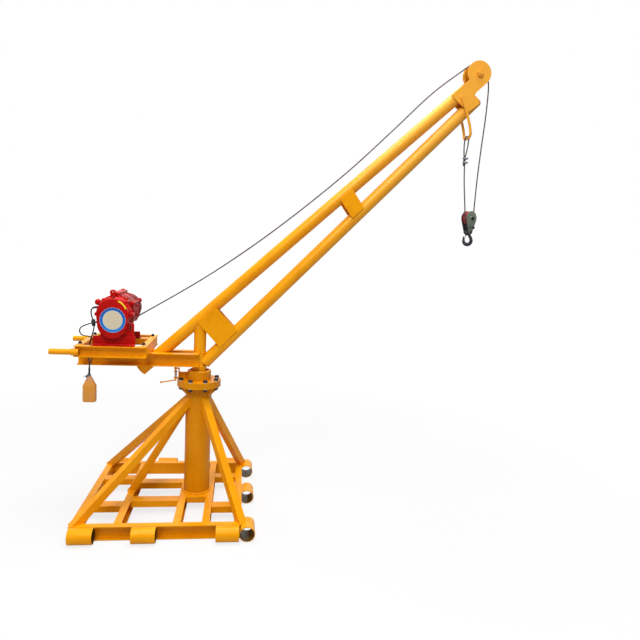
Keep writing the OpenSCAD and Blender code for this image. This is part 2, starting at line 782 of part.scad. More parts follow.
// The rope from the drum to the head sheave, and its wrap over the sheave
module rope_run() {
    wrap_a = 128;
    color(rope_grey) {
        swept(spline(rope_points, 4), rope_d / 2, 8);
        translate([head_x, 0, head_z]) rotate([90, 0, 0])
            rotate_extrude(angle = wrap_a, $fn = facets) translate([head_pitch_r, 0]) circle(d = rope_d, $fn = 24);
    }
}

live_top = [head_x + head_pitch_r, 0, head_z];
live_low = [block_x + fall_dx, fall_dy, block_z];
dead_top = [anchor_low[0] - 2, 0, anchor_low[1] - 165];
dead_low = [block_x - fall_dx, -fall_dy, block_z];

module straight_rope(a, b) {
    trim = 0.6;
    along(a, b) translate([0, 0, trim]) cylinder(d = rope_d, h = norm(b - a) - 2 * trim, $fn = 24);
}

module live_fall() { color(rope_grey) straight_rope(live_top, live_low); }
module dead_fall() { color(rope_grey) straight_rope(dead_top, dead_low); }

module rope_anchor() {
    lap = rope_d + 1;
    slot_d = rope_d + 0.4;
    eye_r = anchor_bar_r + rope_d / 2 + 0.5;
    eye = [anchor_low[0], 0, anchor_low[1] + anchor_bar_r];
    eye_arc = [for (a = [0 : 30 : 180]) eye + eye_r * [cos(a), 0, sin(a)]];
    rising = [for (p = [[0, 0], [0, 50], [0, 64], [4, 84], [9, 106]]) dead_top + [p[0], 0, p[1]]];
    falling = [for (p = [[-6, 106], [-3, 84], [0, 64], [0, 50], [0, 8]]) dead_top + [p[0] - lap, 0, p[1]]];
    color(rope_grey) swept(concat(rising, eye_arc, falling), rope_d / 2, 8);
    color(zinc) for (z = [18, 44]) translate(dead_top + [-lap / 2, 0, z]) difference() {
        translate([-12, -8, 0]) cube([24, 16, 11]);
        translate([-(lap + slot_d) / 2, -slot_d / 2, -1]) cube([lap + slot_d, slot_d, 13]);
    }
}

// ---------- hook block ----------

module sheave(pitch_r, groove_r, w, bore_r) {
    rotate([90, 0, 0]) rotate_extrude($fn = facets) difference() {
        translate([bore_r, -w / 2]) square([pitch_r + 3 - bore_r, w]);
        translate([pitch_r, 0]) circle(r = groove_r, $fn = 32);
        polygon([[pitch_r, -groove_r], [pitch_r, groove_r],
            [pitch_r + 4, groove_r + 3], [pitch_r + 4, -groove_r - 3]]);
    }
}

module head_sheave() {
    color(yellow) translate([head_x, 0, head_z])
        sheave(head_pitch_r, rope_d / 2 + 0.5, 24, head_pin_d / 2 + run_gap);
}

block_pin_r = 9;
hook_shank_r = 8;
block_sheave_w = 28;
block_half = block_sheave_w / 2 + free_gap;   // from the block's middle to a cheek
block_cheek_t = 6;

module block_frame() {
    outside = block_half + block_cheek_t;
    pin_end = 4;         // how far the pins stand out of the cheeks
    color([0.42, 0.48, 0.42]) translate([block_x, 0, block_z]) rotate(block_turn) {
        for (side = [-1, 1]) translate([0, side < 0 ? -block_half : outside, 0]) rotate([90, 0, 0])
            linear_extrude(block_cheek_t) hull() {
                circle(r = block_pitch_r + 4, $fn = facets);
                translate([0, -88]) circle(r = 14, $fn = 48);
            }
        rotate([90, 0, 0]) translate([0, 0, -outside - pin_end])
            cylinder(r = block_pin_r, h = 2 * (outside + pin_end), $fn = 48);
        rotate([90, 0, 0]) translate([0, 0, outside]) hex_prism(24, 8);
    }
    color(dark_steel) translate([block_x, 0, block_z]) rotate(block_turn) {
        translate([19, outside + 6, -60]) rotate([90, 0, 0]) cylinder(d = 10, h = 2 * (outside + 6), $fn = 32);
        for (side = [-1, 1]) translate([0, side * (outside + 6), -90]) rotate([side * 90, 0, 0])
            cylinder(d = 12, h = outside + 6 - block_half + 0.5, $fn = 32);
        difference() {
            translate([-16, -block_half, -104]) cube([32, 2 * block_half, 24]);
            translate([0, 0, -110]) cylinder(r = hook_shank_r + run_gap, h = 60, $fn = 48);
        }
    }
}

module block_sheave() {
    color(winch_red) translate([block_x, 0, block_z]) rotate(block_turn)
        sheave(block_pitch_r, rope_d / 2 + 0.5, block_sheave_w, block_pin_r + run_gap);
}

module block_rope() {
    color(rope_grey) translate([block_x, 0, block_z]) rotate(block_turn) rotate([90, 0, 0]) rotate(180)
        rotate_extrude(angle = 180, $fn = facets) translate([block_pitch_r, 0]) circle(d = rope_d, $fn = 24);
}

hook_z = block_z - 141;

// The latch swings on a small pin beside the shank and rests inside the tip
latch_pivot = [-12, 31];
latch_end = [-15.1, 5.3];
latch_pin_r = 1.5;

module hook() {
    thick = 9;
    mid_r = hook_throat_r + thick;
    tip_a = 168;
    color(dark_steel) translate([block_x, 0, hook_z]) rotate(hook_turn) {
        rotate([90, 0, 0]) rotate(tip_a - 360) rotate_extrude(angle = 450 - tip_a, $fn = facets)
            translate([mid_r, 0]) circle(r = thick, $fn = 32);
        translate([0, 0, mid_r - 2]) cylinder(r1 = 5, r2 = hook_shank_r, h = 10, $fn = 48);
        translate([0, 0, mid_r + 8]) cylinder(r = hook_shank_r, h = 37, $fn = 48);
        translate([0, 0, mid_r + 36]) cylinder(r = 13, h = 9, $fn = 48);
        for (y = [-6.5, 4.3]) translate([latch_pivot[0] - 3, y, latch_pivot[1] - 4]) cube([14, 2.2, 8]);
        translate([latch_pivot[0], 5, latch_pivot[1]]) rotate([90, 0, 0]) cylinder(r = latch_pin_r, h = 10, $fn = 32);
    }
}

module hook_latch() {
    color(zinc) translate([block_x, 0, hook_z]) rotate(hook_turn) rotate([90, 0, 0]) translate([0, 0, -4])
        linear_extrude(8) difference() {
            hull() {
                translate(latch_pivot) circle(r = 3.4, $fn = 32);
                translate(latch_end) circle(r = 2, $fn = 24);
            }
            translate(latch_pivot) circle(r = latch_pin_r + run_gap, $fn = 32);
        }
}

// ---------- cords ----------

cord_gap = 0.4;      // space between a cord's end and the gland or plug it meets
pendant_cable_d = 7.5;
mains_lead_d = 7;
pendant_exit = gland_high - [cord_gap, 0, 0];
mains_exit = gland_low - [cord_gap, 0, 0];
plug_top = [-645, -92, 853];
pendant_size = [75, 44];
pendant_foot = [-634, -120, 686];
pendant_body_h = 100;
pendant_neck_h = 54;
pendant_top = pendant_foot + [0, 0, pendant_body_h + pendant_neck_h + cord_gap];

pendant_points = [pendant_exit - [6, 0, 0], [-603, -168, 1257.5], [-612.5, -165, 1248], [-616, -162, 1235],
    [-616, -159, 1218], [-611, -156, 1197], [-605, -153, 1175], [-602, -150, 1150], [-608, -146, 1115],
    [-621, -141, 1075], [-632, -134, 1030], [-637, -127, 960], [-634, -121, 890], pendant_top];
mains_points = [mains_exit - [8, 0, 0], [-604, -166, 1170], [-630, -159, 1161], [-652, -152, 1152],
    [-670, -147, 1143], [-681, -144.5, 1132], [-685, -143, 1117], [-681, -141, 1102], [-670, -138.5, 1091],
    [-655, -135.5, 1086], [-640, -132, 1084], [-626, -128, 1079], [-616, -124, 1069], [-612, -120, 1055],
    [-612, -115, 1025], [-616, -108, 985], [-625, -101, 945], [-637, -95.5, 913], [-644, -92.5, 888],
    plug_top + [0, 0, 17], plug_top + [0, 0, 8]];

module pendant_cable() {
    color(dark_steel) swept(concat([pendant_exit], spline(pendant_points, 4)), pendant_cable_d / 2, 8);
}

module mains_lead() {
    color(dark_steel)
        swept(concat([mains_exit], spline(mains_points, 3), [plug_top + [0, 0, cord_gap]]), mains_lead_d / 2, 8);
}

module mains_plug() {
    color(dark_steel) translate(plug_top - [0, 0, 30]) cylinder(d = 26, h = 30, $fn = 32);
    color(zinc) for (dy = [-6, 6]) translate(plug_top + [-27, dy, -24]) cube([16, 2, 6]);
}

module pendant() {
    color(yellow) translate(pendant_foot) {
        linear_extrude(pendant_body_h) square(pendant_size, center = true);
        translate([0, 0, pendant_body_h]) linear_extrude(pendant_neck_h, scale = 0.25) square(pendant_size, center = true);
    }
}

base_front_beam();
base_back_beam();
base_left_beam();
base_right_beam();
base_long_beams();
base_cross_members();
front_sleeves();
back_sleeves();
side_sleeves();
post();
post_flange();
brace_front_left();
brace_back_left();
brace_middle();
brace_front_right();
brace_back_right();
bearing_cap();
flange_bolts();
lock_bracket();
lock_pin();
lock_spring();
slewing_shaft();
mast_tube();
rail_front();
rail_back();
upper_jib_tube();
lower_jib_tube();
foot_gussets();
mid_plates();
head_plates();
head_pin();
anchor_bar();
tray_frame();
tray_bearer();
tray_bolts();
push_handles();
winch_base();
winch_housing();
winch_motor();
cable_glands();
drum();
rope_run();
rope_anchor();
live_fall();
dead_fall();
head_sheave();
block_frame();
block_sheave();
block_rope();
hook();
hook_latch();
pendant_cable();
mains_lead();
mains_plug();
pendant();
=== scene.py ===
"""The finished look of a portable mini crane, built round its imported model.

Lengths are in metres in the model's own frame: +Z up along the slewing axis, +X towards
the jib's head, +Y to the back, and the origin on the floor under the slewing axis.
"""

import logging
import math
import random
from dataclasses import dataclass
from enum import Enum

import bmesh
import bpy
from mathutils import Matrix, Vector


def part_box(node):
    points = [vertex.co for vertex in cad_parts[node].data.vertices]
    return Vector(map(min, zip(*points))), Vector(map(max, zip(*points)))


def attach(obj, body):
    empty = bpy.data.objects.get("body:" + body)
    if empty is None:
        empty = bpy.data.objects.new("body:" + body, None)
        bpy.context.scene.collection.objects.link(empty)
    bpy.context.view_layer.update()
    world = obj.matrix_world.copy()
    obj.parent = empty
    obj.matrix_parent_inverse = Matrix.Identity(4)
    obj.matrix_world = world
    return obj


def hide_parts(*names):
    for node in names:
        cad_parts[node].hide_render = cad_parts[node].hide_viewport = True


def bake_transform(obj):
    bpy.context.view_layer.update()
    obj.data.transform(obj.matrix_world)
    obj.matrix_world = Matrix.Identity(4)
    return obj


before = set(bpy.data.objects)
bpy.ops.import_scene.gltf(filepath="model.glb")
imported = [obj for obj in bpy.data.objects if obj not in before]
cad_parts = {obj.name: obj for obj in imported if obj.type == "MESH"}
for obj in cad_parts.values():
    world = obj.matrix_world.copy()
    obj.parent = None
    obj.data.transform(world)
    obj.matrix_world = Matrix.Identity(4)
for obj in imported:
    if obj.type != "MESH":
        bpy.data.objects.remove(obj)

logging.basicConfig(level=logging.INFO, format="%(message)s")
LOG = logging.getLogger("mini_crane")

UP = Vector((0.0, 0.0, 1.0))
RIGHT = Vector((1.0, 0.0, 0.0))
BACK = Vector((0.0, 1.0, 0.0))
FULL_TURN = 2.0 * math.pi

SLEEVE_RADIUS = 0.0445
SLEEVE_ROW_Y = 0.53284
SLEEVE_END_X = 0.32284
BEAM_FLANGE = 0.043

Point = Vector | tuple[float, float, float]
Colour = tuple[float, float, float]
Outline = list[tuple[float, float]]


class Body(str, Enum):
    """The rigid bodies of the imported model."""

    BASE = "base"
    LOCK = "lock"
    JIB = "jib"
    DRUM = "drum"
    HEAD_SHEAVE = "head_sheave"
    BLOCK = "block"
    BLOCK_SHEAVE = "block_sheave"
    HOOK = "hook"
    LATCH = "latch"


class Slot(str, Enum):
    """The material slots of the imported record."""

    CRANE_PAINT = "crane_paint"
    BLACK_BOLTS = "black_bolts"
    ZINC = "zinc"
    WINCH_PAINT = "winch_paint"
    WIRE_ROPE = "wire_rope"
    DRUM_IRON = "drum_iron"
    BLOCK_PAINT = "block_paint"
    SHEAVE_PAINT = "sheave_paint"
    HOOK_STEEL = "hook_steel"
    BLACK_PLASTIC = "black_plastic"
    CORD_RUBBER = "cord_rubber"
    PENDANT_PLASTIC = "pendant_plastic"


def linked(name: str, data: bpy.types.ID) -> bpy.types.Object:
    """A new object of the scene that shows that data."""
    made = bpy.data.objects.new(name, data)
    bpy.context.scene.collection.objects.link(made)
    return made


def centre_of(node: str) -> tuple[float, ...]:
    """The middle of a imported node's box."""
    low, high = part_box(node)
    return tuple((a + b) / 2 for a, b in zip(low, high))


# ---------- shader maths ----------


class Value:
    """A shader socket whose arithmetic adds Math nodes to its graph."""

    def __init__(self, graph: "Graph", socket: bpy.types.NodeSocket) -> None:
        """Wraps one output socket of the graph."""
        self.graph = graph
        self.socket = socket

    def __add__(self, other: "Value | float") -> "Value":
        """self + other."""
        return self.graph.math("ADD", self, other)

    __radd__ = __add__

    def __sub__(self, other: "Value | float") -> "Value":
        """self - other."""
        return self.graph.math("SUBTRACT", self, other)

    def __rsub__(self, other: float) -> "Value":
        """other - self."""
        return self.graph.math("SUBTRACT", other, self)

    def __mul__(self, other: "Value | float") -> "Value":
        """self * other."""
        return self.graph.math("MULTIPLY", self, other)

    __rmul__ = __mul__

    def __lt__(self, other: "Value | float") -> "Value":
        """1 where self is less than other, 0 elsewhere."""
        return self.graph.math("LESS_THAN", self, other)

    def __gt__(self, other: "Value | float") -> "Value":
        """1 where self is greater than other, 0 elsewhere."""
        return self.graph.math("GREATER_THAN", self, other)

    def __abs__(self) -> "Value":
        """The distance from 0."""
        return self.graph.math("ABSOLUTE", self)

    def clamped(self) -> "Value":
        """The value held between 0 and 1."""
        return self.graph.math("ADD", self, 0.0, clamp=True)


class Graph:
    """A node tree that is built up from nothing."""

    def __init__(self, tree: bpy.types.NodeTree) -> None:
        """Empties the tree."""
        self.tree = tree
        self.tree.nodes.clear()

    def node(self, kind: str, settings: dict | None = None,
             inputs: dict | None = None) -> bpy.types.Node:
        """Adds one node.

        Args:
            kind: the node's type without its ShaderNode prefix.
            settings: the node's own properties, set before its sockets.
            inputs: socket names or numbers, with a Value to link or a constant to set.

        Returns:
            The new node.
        """
        made = self.tree.nodes.new("ShaderNode" + kind)
        for key, value in (settings or {}).items():
            setattr(made, key, value)
        for key, value in (inputs or {}).items():
            self.feed(made.inputs[key], value)
        return made

    def feed(self, socket: bpy.types.NodeSocket, value: object) -> None:
        """Links a Value to the socket, or sets a constant on it."""
        if isinstance(value, Value):
            self.tree.links.new(value.socket, socket)
        elif isinstance(value, (tuple, list)) and len(value) == 3 and socket.type == "RGBA":
            socket.default_value = (*value, 1.0)
        else:
            socket.default_value = value

    def value(self, node: bpy.types.Node, output: str | int = 0) -> Value:
        """One output of a node as a Value."""
        return Value(self, node.outputs[output])

    def math(self, operation: str, first: object, second: object = 0.0,
             clamp: bool = False) -> Value:
        """One Math node of two operands."""
        settings = {"operation": operation, "use_clamp": clamp}
        return self.value(self.node("Math", settings, {0: first, 1: second}))

    def place(self, scale: Point = (1, 1, 1), move: Point = (0, 0, 0)) -> Value:
        """The object's own coordinates, moved and stretched."""
        coords = self.value(self.node("TexCoord"), "Object")
        inputs = {"Vector": coords, "Location": move, "Scale": scale}
        return self.value(self.node("Mapping", {"vector_type": "POINT"}, inputs))

    def axes(self, vector: Value) -> dict[str, Value]:
        """A vector's X, Y and Z."""
        parts = self.node("SeparateXYZ", None, {"Vector": vector})
        return {axis: self.value(parts, axis) for axis in "XYZ"}

    def length(self, first: Value, second: Value) -> Value:
        """The length of a flat vector."""
        return self.math("SQRT", first * first + second * second)

    def noise(self, vector: Value, scale: float, detail: float = 3.0, rough: float = 0.55) -> Value:
        """Fractal noise from 0 to 1 over a vector."""
        inputs = {"Vector": vector, "Scale": scale, "Detail": detail, "Roughness": rough}
        return self.value(self.node("TexNoise", None, inputs), 0)

    def grains(self, vector: Value, scale: float) -> Value:
        """The distance to the nearest of many scattered points."""
        return self.value(self.node("TexVoronoi", None,
                                    {"Vector": vector, "Scale": scale}), "Distance")

    def between(self, value: Value, low: float, high: float,
                out: tuple[float, float] = (0.0, 1.0)) -> Value:
        """A value remapped smoothly from low..high to out."""
        settings = {"interpolation_type": "SMOOTHSTEP"}
        inputs = {"Value": value, "From Min": low, "From Max": high,
                  "To Min": out[0], "To Max": out[1]}
        return self.value(self.node("MapRange", settings, inputs))

    def mix(self, factor: Value | float, first: Value | Colour, second: Value | Colour) -> Value:
        """Two colours mixed by a factor."""
        made = self.node("Mix", {"data_type": "RGBA"}, {0: factor, 6: first, 7: second})
        return self.value(made, 2)

    def rounded(self, radius: float) -> Value:
        """Normals that turn softly over the object's edges."""
        return self.value(self.node("Bevel", {"samples": 4}, {"Radius": radius}))

    def bump(self, height: Value, distance: float, strength: float = 1.0,
             normal: Value | None = None) -> Value:
        """Normals that follow a height."""
        inputs = {"Height": height, "Distance": distance, "Strength": strength}
        if normal is not None:
            inputs["Normal"] = normal
        return self.value(self.node("Bump", None, inputs))


class Finish(Graph):
    """One node material, with its shader and its output already in place."""

    def __init__(self, name: str) -> None:
        """Makes a material of that name with a Principled shader."""
        self.material = bpy.data.materials.new(name)
        self.material.use_nodes = True
        super().__init__(self.material.node_tree)
        self.output = self.node("OutputMaterial")
        self.shader = self.node("BsdfPrincipled")
        self.feed(self.output.inputs["Surface"], self.value(self.shader, "BSDF"))

    def finish(self, **sockets: object) -> bpy.types.Material:
        """Feeds the shader's sockets, named with _ for a space.

        Args:
            **sockets: the Principled shader's sockets and what each gets.

        Returns:
            The finished material.
        """
        for key, value in sockets.items():
            self.feed(self.shader.inputs[key.replace("_", " ")], value)
        return self.material


# ---------- finishes ----------


@dataclass(frozen=True)
class Enamel:
    """Sprayed enamel on steel: a mottled coat with orange peel and soft edges.

    Attributes:
        name: the material's name.
        colour: the coat's colour, with shade for its patches and specks and light for its streaks.
        stretch: each axis's share; streaks run along the smallest.
        rough: the middle roughness.
        edge: the radius of the softened edges, or 0 for none.
        peel: the scale of the orange peel.
        cast: how much a casting's grain shows.
        gleam: the strength of the highlights, and tint their colour.
        relief: the strength of the bump.
        detail: how fine the streaks are.
        specks: how much the small specks show.
        bore: the axis and the place of the sleeves whose insides are made blackish brown, partly
            for their rust and partly as painted shade.
        paled_by_light: where along X painted light starts to pale the coat, and where the coat is
            palest.
    """

    # Blackish browns for the sleeves' insides: partly their rust, partly painted shade in the
    # bores.
    RUST_AND_SHADE = ((0.080, 0.042, 0.004), (0.150, 0.080, 0.006))
    # The pale yellow of painted light, which brightens the coat towards the jib's head.
    PALE_PAINTED_LIGHT = (0.86, 0.405, 0.055)
    WALL = 0.0035

    name: str
    colour: Colour
    shade: Colour
    light: Colour
    stretch: tuple[float, float, float] = (1.0, 1.0, 1.0)
    rough: float = 0.34
    edge: float = 0.0016
    peel: float = 420.0
    cast: float = 0.0
    gleam: float = 0.22
    tint: Colour = (1.0, 0.70, 0.22)
    relief: float = 0.16
    detail: float = 5.0
    specks: float = 0.22
    bore: tuple[str, float] | None = None
    paled_by_light: tuple[float, float] | None = None

    def material(self) -> bpy.types.Material:
        """Builds the enamel's node material."""
        g = Finish(self.name)
        plain = g.place()
        along = g.place(scale=self.stretch)
        patches = g.between(g.noise(plain, 7.0, 4.0), 0.35, 0.7)
        streaks = g.between(g.noise(along, 26.0, self.detail, 0.65), 0.42, 0.72)
        specks = g.between(g.noise(plain, 160.0, 2.0), 0.68, 0.8)
        coat = g.mix(patches * 0.55, self.colour, self.shade)
        coat = g.mix(streaks * 0.30, coat, self.light)
        coat = g.mix(specks * self.specks, coat, self.shade)
        spread = (self.rough - 0.08, self.rough + 0.12)
        rough = g.between(g.noise(along, 30.0, 0.6 * self.detail), 0.2, 0.8, spread)
        # Painted light: the coat pales along X towards the jib's head.
        if self.paled_by_light:
            paler_by_painted_light = g.between(g.axes(plain)["X"], *self.paled_by_light)
            coat = g.mix(paler_by_painted_light * 0.75, coat, self.PALE_PAINTED_LIGHT)
        # Painted shade and rust: the sleeves' insides turn blackish brown.
        if self.bore:
            axis, at = self.bore
            place = g.axes(plain)
            across = abs(place[axis]) if axis == "Y" else place[axis]
            inside = g.length(across - at, place["Z"] - SLEEVE_RADIUS) < SLEEVE_RADIUS - self.WALL
            coat = g.mix(inside, coat, g.mix(patches, *self.RUST_AND_SHADE))
        skin = g.noise(plain, self.peel, 1.0) * 0.10 + g.noise(plain, 28.0, 2.0)
        if self.cast:
            skin = skin + g.grains(plain, 260.0) * self.cast
        soft = g.rounded(self.edge) if self.edge else None
        normal = g.bump(skin, 0.0005, self.relief, soft)
        return g.finish(
            Base_Color=coat, Roughness=rough, Normal=normal, Coat_Weight=0.08,
            Coat_Roughness=0.14, IOR=1.5, Specular_IOR_Level=self.gleam, Specular_Tint=self.tint
        )


@dataclass(frozen=True)
class BareSteel:
    """Bare or plated steel with a fine brushed or greasy surface."""

    name: str
    colour: Colour
    stain: Colour
    rough: float = 0.32
    metallic: float = 1.0
    grain: float = 300.0
    edge: float = 0.0006

    def material(self) -> bpy.types.Material:
        """Builds the steel's node material."""
        g = Finish(self.name)
        plain = g.place()
        blots = g.between(g.noise(plain, 38.0, 4.0), 0.4, 0.75)
        colour = g.mix(blots * 0.6, self.colour, self.stain)
        rough = g.between(g.noise(plain, self.grain, 3.0), 0.25, 0.75,
                          (self.rough - 0.08, self.rough + 0.14))
        normal = g.bump(g.noise(plain, self.grain * 2.0, 2.0), 0.0002, 0.5, g.rounded(self.edge))
        return g.finish(Base_Color=colour, Roughness=rough, Metallic=self.metallic, Normal=normal)


@dataclass(frozen=True)
class Moulding:
    """A moulded plastic or rubber skin with a fine even grain."""

    name: str
    colour: Colour
    worn: Colour
    rough: float = 0.45
    grain: float = 900.0
    edge: float = 0.0006

    def material(self) -> bpy.types.Material:
        """Builds the moulding's node material."""
        g = Finish(self.name)
        plain = g.place()
        scuffs = g.between(g.noise(plain, 60.0, 5.0), 0.5, 0.8)
        colour = g.mix(scuffs * 0.5, self.colour, self.worn)
        rough = g.between(g.noise(plain, 90.0, 3.0), 0.3, 0.7,
                          (self.rough - 0.06, self.rough + 0.1))
        normal = g.bump(g.noise(plain, self.grain, 2.0), 0.00015, 0.5, g.rounded(self.edge))
        return g.finish(Base_Color=colour, Roughness=rough, Normal=normal)


@dataclass(frozen=True)
class ClearFilm:
    """Thin clear polythene film, seen mostly by its gloss and its folds."""

    name: str = "clear_film"

    def material(self) -> bpy.types.Material:
        """Builds the film's node material."""
        g = Finish(self.name)
        folds = g.noise(g.place(scale=(1.0, 1.0, 0.35)), 60.0, 5.0, 0.65)
        neck = g.between(g.axes(g.place())["Z"], 0.800, 0.846)
        haze = g.between(folds, 0.45, 0.78, (0.02, 0.15)) + neck * 0.20
        normal = g.bump(folds, 0.004, 0.8)
        return g.finish(
            Base_Color=(0.86, 0.86, 0.86), Roughness=0.16, Alpha=haze,
            Normal=normal, Coat_Weight=0.6, Coat_Roughness=0.08
        )


@dataclass(frozen=True)
class DialLabel:
    """A round label: a blue ring with plain ticks round a cream field with faint blurred rows."""

    TICKS = 21.0
    ROW = 0.0165

    centre: tuple[float, float, float]
    outer: float
    inner: float
    name: str = "winch_label"

    def material(self) -> bpy.types.Material:
        """Builds the label's node material round its centre."""
        g = Finish(self.name)
        coords = g.place(move=tuple(-c for c in self.centre))
        axes = g.axes(coords)
        x, z = axes["X"], axes["Z"]
        radius = g.length(x, z)
        angle = g.math("ARCTAN2", x, z)
        middle = 0.5 * (self.outer + self.inner)
        ticks = (g.math("COSINE", angle * self.TICKS) > -0.10) * (abs(radius - middle) < 0.0042)
        upper = z > self.outer * 0.22
        # Painted light: the blue ring is lighter towards its bottom.
        painted_light_below = g.between(z, 0.0, -self.outer)
        ring = radius > self.inner
        edges = (radius > self.outer - 0.0016) + (abs(radius - self.inner) < 0.0012)
        fade = g.noise(coords, 55.0, 3.0)
        blue = g.mix(painted_light_below, (0.004, 0.14, 0.55), (0.004, 0.22, 0.68))
        cream = g.mix(fade, (0.62, 0.57, 0.40), (0.72, 0.60, 0.43))
        rows = g.math("COSINE", z * (FULL_TURN / self.ROW)) > 0.62
        broken = g.between(g.noise(coords, 210.0, 3.0), 0.44, 0.56)
        field = (abs(x) < 0.033) * (abs(z) < 0.036)
        ink = g.mix(z > 0.018, (0.40, 0.32, 0.24), (0.60, 0.16, 0.10))
        colour = g.mix(rows * field * broken * 0.42, cream, ink)
        colour = g.mix(ring, colour, blue)
        colour = g.mix(ticks * upper * 0.85, colour, (0.0, 0.020, 0.22))
        colour = g.mix(edges.clamped() * 0.75, colour, (0.42, 0.66, 0.80))
        normal = g.bump(g.noise(coords, 300.0, 2.0), 0.0001, 0.4)
        return g.finish(Base_Color=colour, Roughness=0.28, Normal=normal, Coat_Weight=0.3)


class Palette:
    """Every finish of the crane, made once and shared."""

    def __init__(self) -> None:
        """Makes all the materials."""
        yellow: dict = {"colour": (0.88, 0.345, 0.002), "shade": (0.72, 0.245, 0.001),
                        "light": (0.95, 0.43, 0.006)}
        # A deeper copy of the yellow: painted shade on the post, its flange and the bearing cap.
        deep: dict = {"colour": (0.72, 0.268, 0.001), "shade": (0.59, 0.198, 0.001),
                      "light": (0.82, 0.36, 0.004)}
        red: dict = {"colour": (0.50, 0.004, 0.003), "shade": (0.27, 0.002, 0.002),
                     "light": (0.60, 0.010, 0.006), "tint": (1.0, 0.36, 0.32), "gleam": 0.16}
        self.paint = Enamel("crane_enamel", **yellow).material()
        self.paint_x = Enamel("crane_enamel_along_x", stretch=(0.12, 1.0, 1.0), **yellow).material()
        self.paint_y = Enamel("crane_enamel_along_y", stretch=(1.0, 0.12, 1.0), **yellow).material()
        self.paint_z = Enamel("crane_enamel_along_z", stretch=(1.0, 1.0, 0.10), **yellow).material()
        self.row_sleeves = Enamel("row_sleeve_enamel", stretch=(0.3, 1.0, 1.0),
                                  bore=("Y", SLEEVE_ROW_Y), **yellow).material()
        self.end_sleeves = Enamel("end_sleeve_enamel", stretch=(1.0, 0.3, 1.0),
                                  bore=("X", SLEEVE_END_X), **yellow).material()
        # The tubes pale towards the jib's head: painted light.
        self.tube = Enamel("crane_enamel_on_tube", stretch=(0.2, 0.6, 0.2), edge=0.0, relief=0.02,
                           detail=0.5, specks=0.0, rough=0.30, gleam=0.30, tint=(1.0, 0.76, 0.36),
                           paled_by_light=(0.4, 1.7), **yellow).material()
        # The post, its flange and the bearing cap wear the deeper copy: painted shade.
        self.deep = Enamel("crane_enamel_deeper_for_shade", **deep).material()
        self.post = Enamel("crane_enamel_on_post", stretch=(0.6, 0.6, 0.15), edge=0.0, relief=0.04,
                           **deep).material()
        # The head's plates pale towards their end: painted light.
        self.head = Enamel("crane_enamel_on_head", relief=0.04, detail=1.0, specks=0.0,
                           paled_by_light=(1.0, 1.5), **yellow).material()
        # A deeper yellow for the head sheave between the cheeks: painted shade.
        self.groove = Enamel("crane_enamel_in_shade", (0.50, 0.17, 0.002), (0.34, 0.10, 0.001),
                             (0.62, 0.24, 0.004), gleam=0.1).material()
        self.weld = Enamel("weld_enamel", peel=700.0, rough=0.3, edge=0.0004, **yellow).material()
        self.winch = Enamel("winch_enamel", rough=0.30, cast=0.22, edge=0.0022, **red).material()
        # A deeper red for the drum guard on the winch's side: painted shade.
        self.winch_painted_shade = Enamel("winch_guard_enamel_in_painted_shade", (0.33, 0.003, 0.003), (0.18, 0.002, 0.002),
                                 (0.40, 0.006, 0.005), rough=0.36, cast=0.2,
                                 edge=0.0012, gleam=0.18, tint=(1.0, 0.40, 0.36)).material()
        self.winch_smooth = Enamel("winch_cover_enamel", rough=0.2, edge=0.002, **red).material()
        # The block sheave's red is made deeper: painted shade.
        self.sheave_red = Enamel(
            "sheave_enamel", (0.30, 0.010, 0.012), (0.10, 0.005, 0.005),
            (0.44, 0.03, 0.03), rough=0.35, tint=(1.0, 0.8, 0.75)).material()
        self.block_green = Enamel(
            "block_enamel", (0.16, 0.20, 0.145), (0.07, 0.09, 0.06), (0.27, 0.33, 0.26), rough=0.36,
            tint=(1.0, 1.0, 1.0)).material()
        self.stripe = Enamel(
            "stripe_enamel", (0.88, 0.80, 0.02), (0.75, 0.62, 0.01), (0.95, 0.9, 0.2),
            rough=0.3).material()
        self.bolt = BareSteel("black_bolt_steel", (0.035, 0.035, 0.042), (0.10, 0.10, 0.11),
                              0.34, 0.85).material()
        self.zinc = BareSteel("zinc_plate", (0.62, 0.64, 0.67), (0.42, 0.43, 0.45), 0.26).material()
        self.clip = BareSteel("clip_plate", (0.27, 0.28, 0.35), (0.07, 0.07, 0.10),
                              0.36, 0.8).material()
        self.rope = BareSteel("rope_wire", (0.120, 0.080, 0.086), (0.060, 0.038, 0.041), 0.48,
                              0.5, 700.0).material()
        self.iron = BareSteel("drum_casting", (0.045, 0.045, 0.05), (0.09, 0.07, 0.06),
                              0.42, 0.7).material()
        self.hook = BareSteel("hook_forging", (0.016, 0.015, 0.024), (0.045, 0.04, 0.05),
                              0.40, 0.5).material()
        self.black = Moulding("black_moulding", (0.018, 0.018, 0.020),
                              (0.06, 0.06, 0.06)).material()
        # Near-black for slots and grille openings: painted shade in the gaps.
        self.shade_black = Moulding("painted_shade_recess", (0.006, 0.006, 0.006),
                             (0.015, 0.012, 0.01), 0.7).material()
        self.rubber = Moulding("cord_sheath", (0.012, 0.012, 0.014), (0.035, 0.03, 0.03), 0.5,
                               1200.0).material()
        self.orange = Moulding("pendant_shell", (0.70, 0.27, 0.004), (0.74, 0.33, 0.012),
                               0.38, 700.0).material()
        self.green = Moulding("green_button", (0.02, 0.28, 0.06),
                              (0.05, 0.35, 0.1), 0.35).material()
        self.red = Moulding("red_button", (0.55, 0.02, 0.02), (0.6, 0.08, 0.06), 0.35).material()
        self.film = ClearFilm().material()


# ---------- shapes ----------


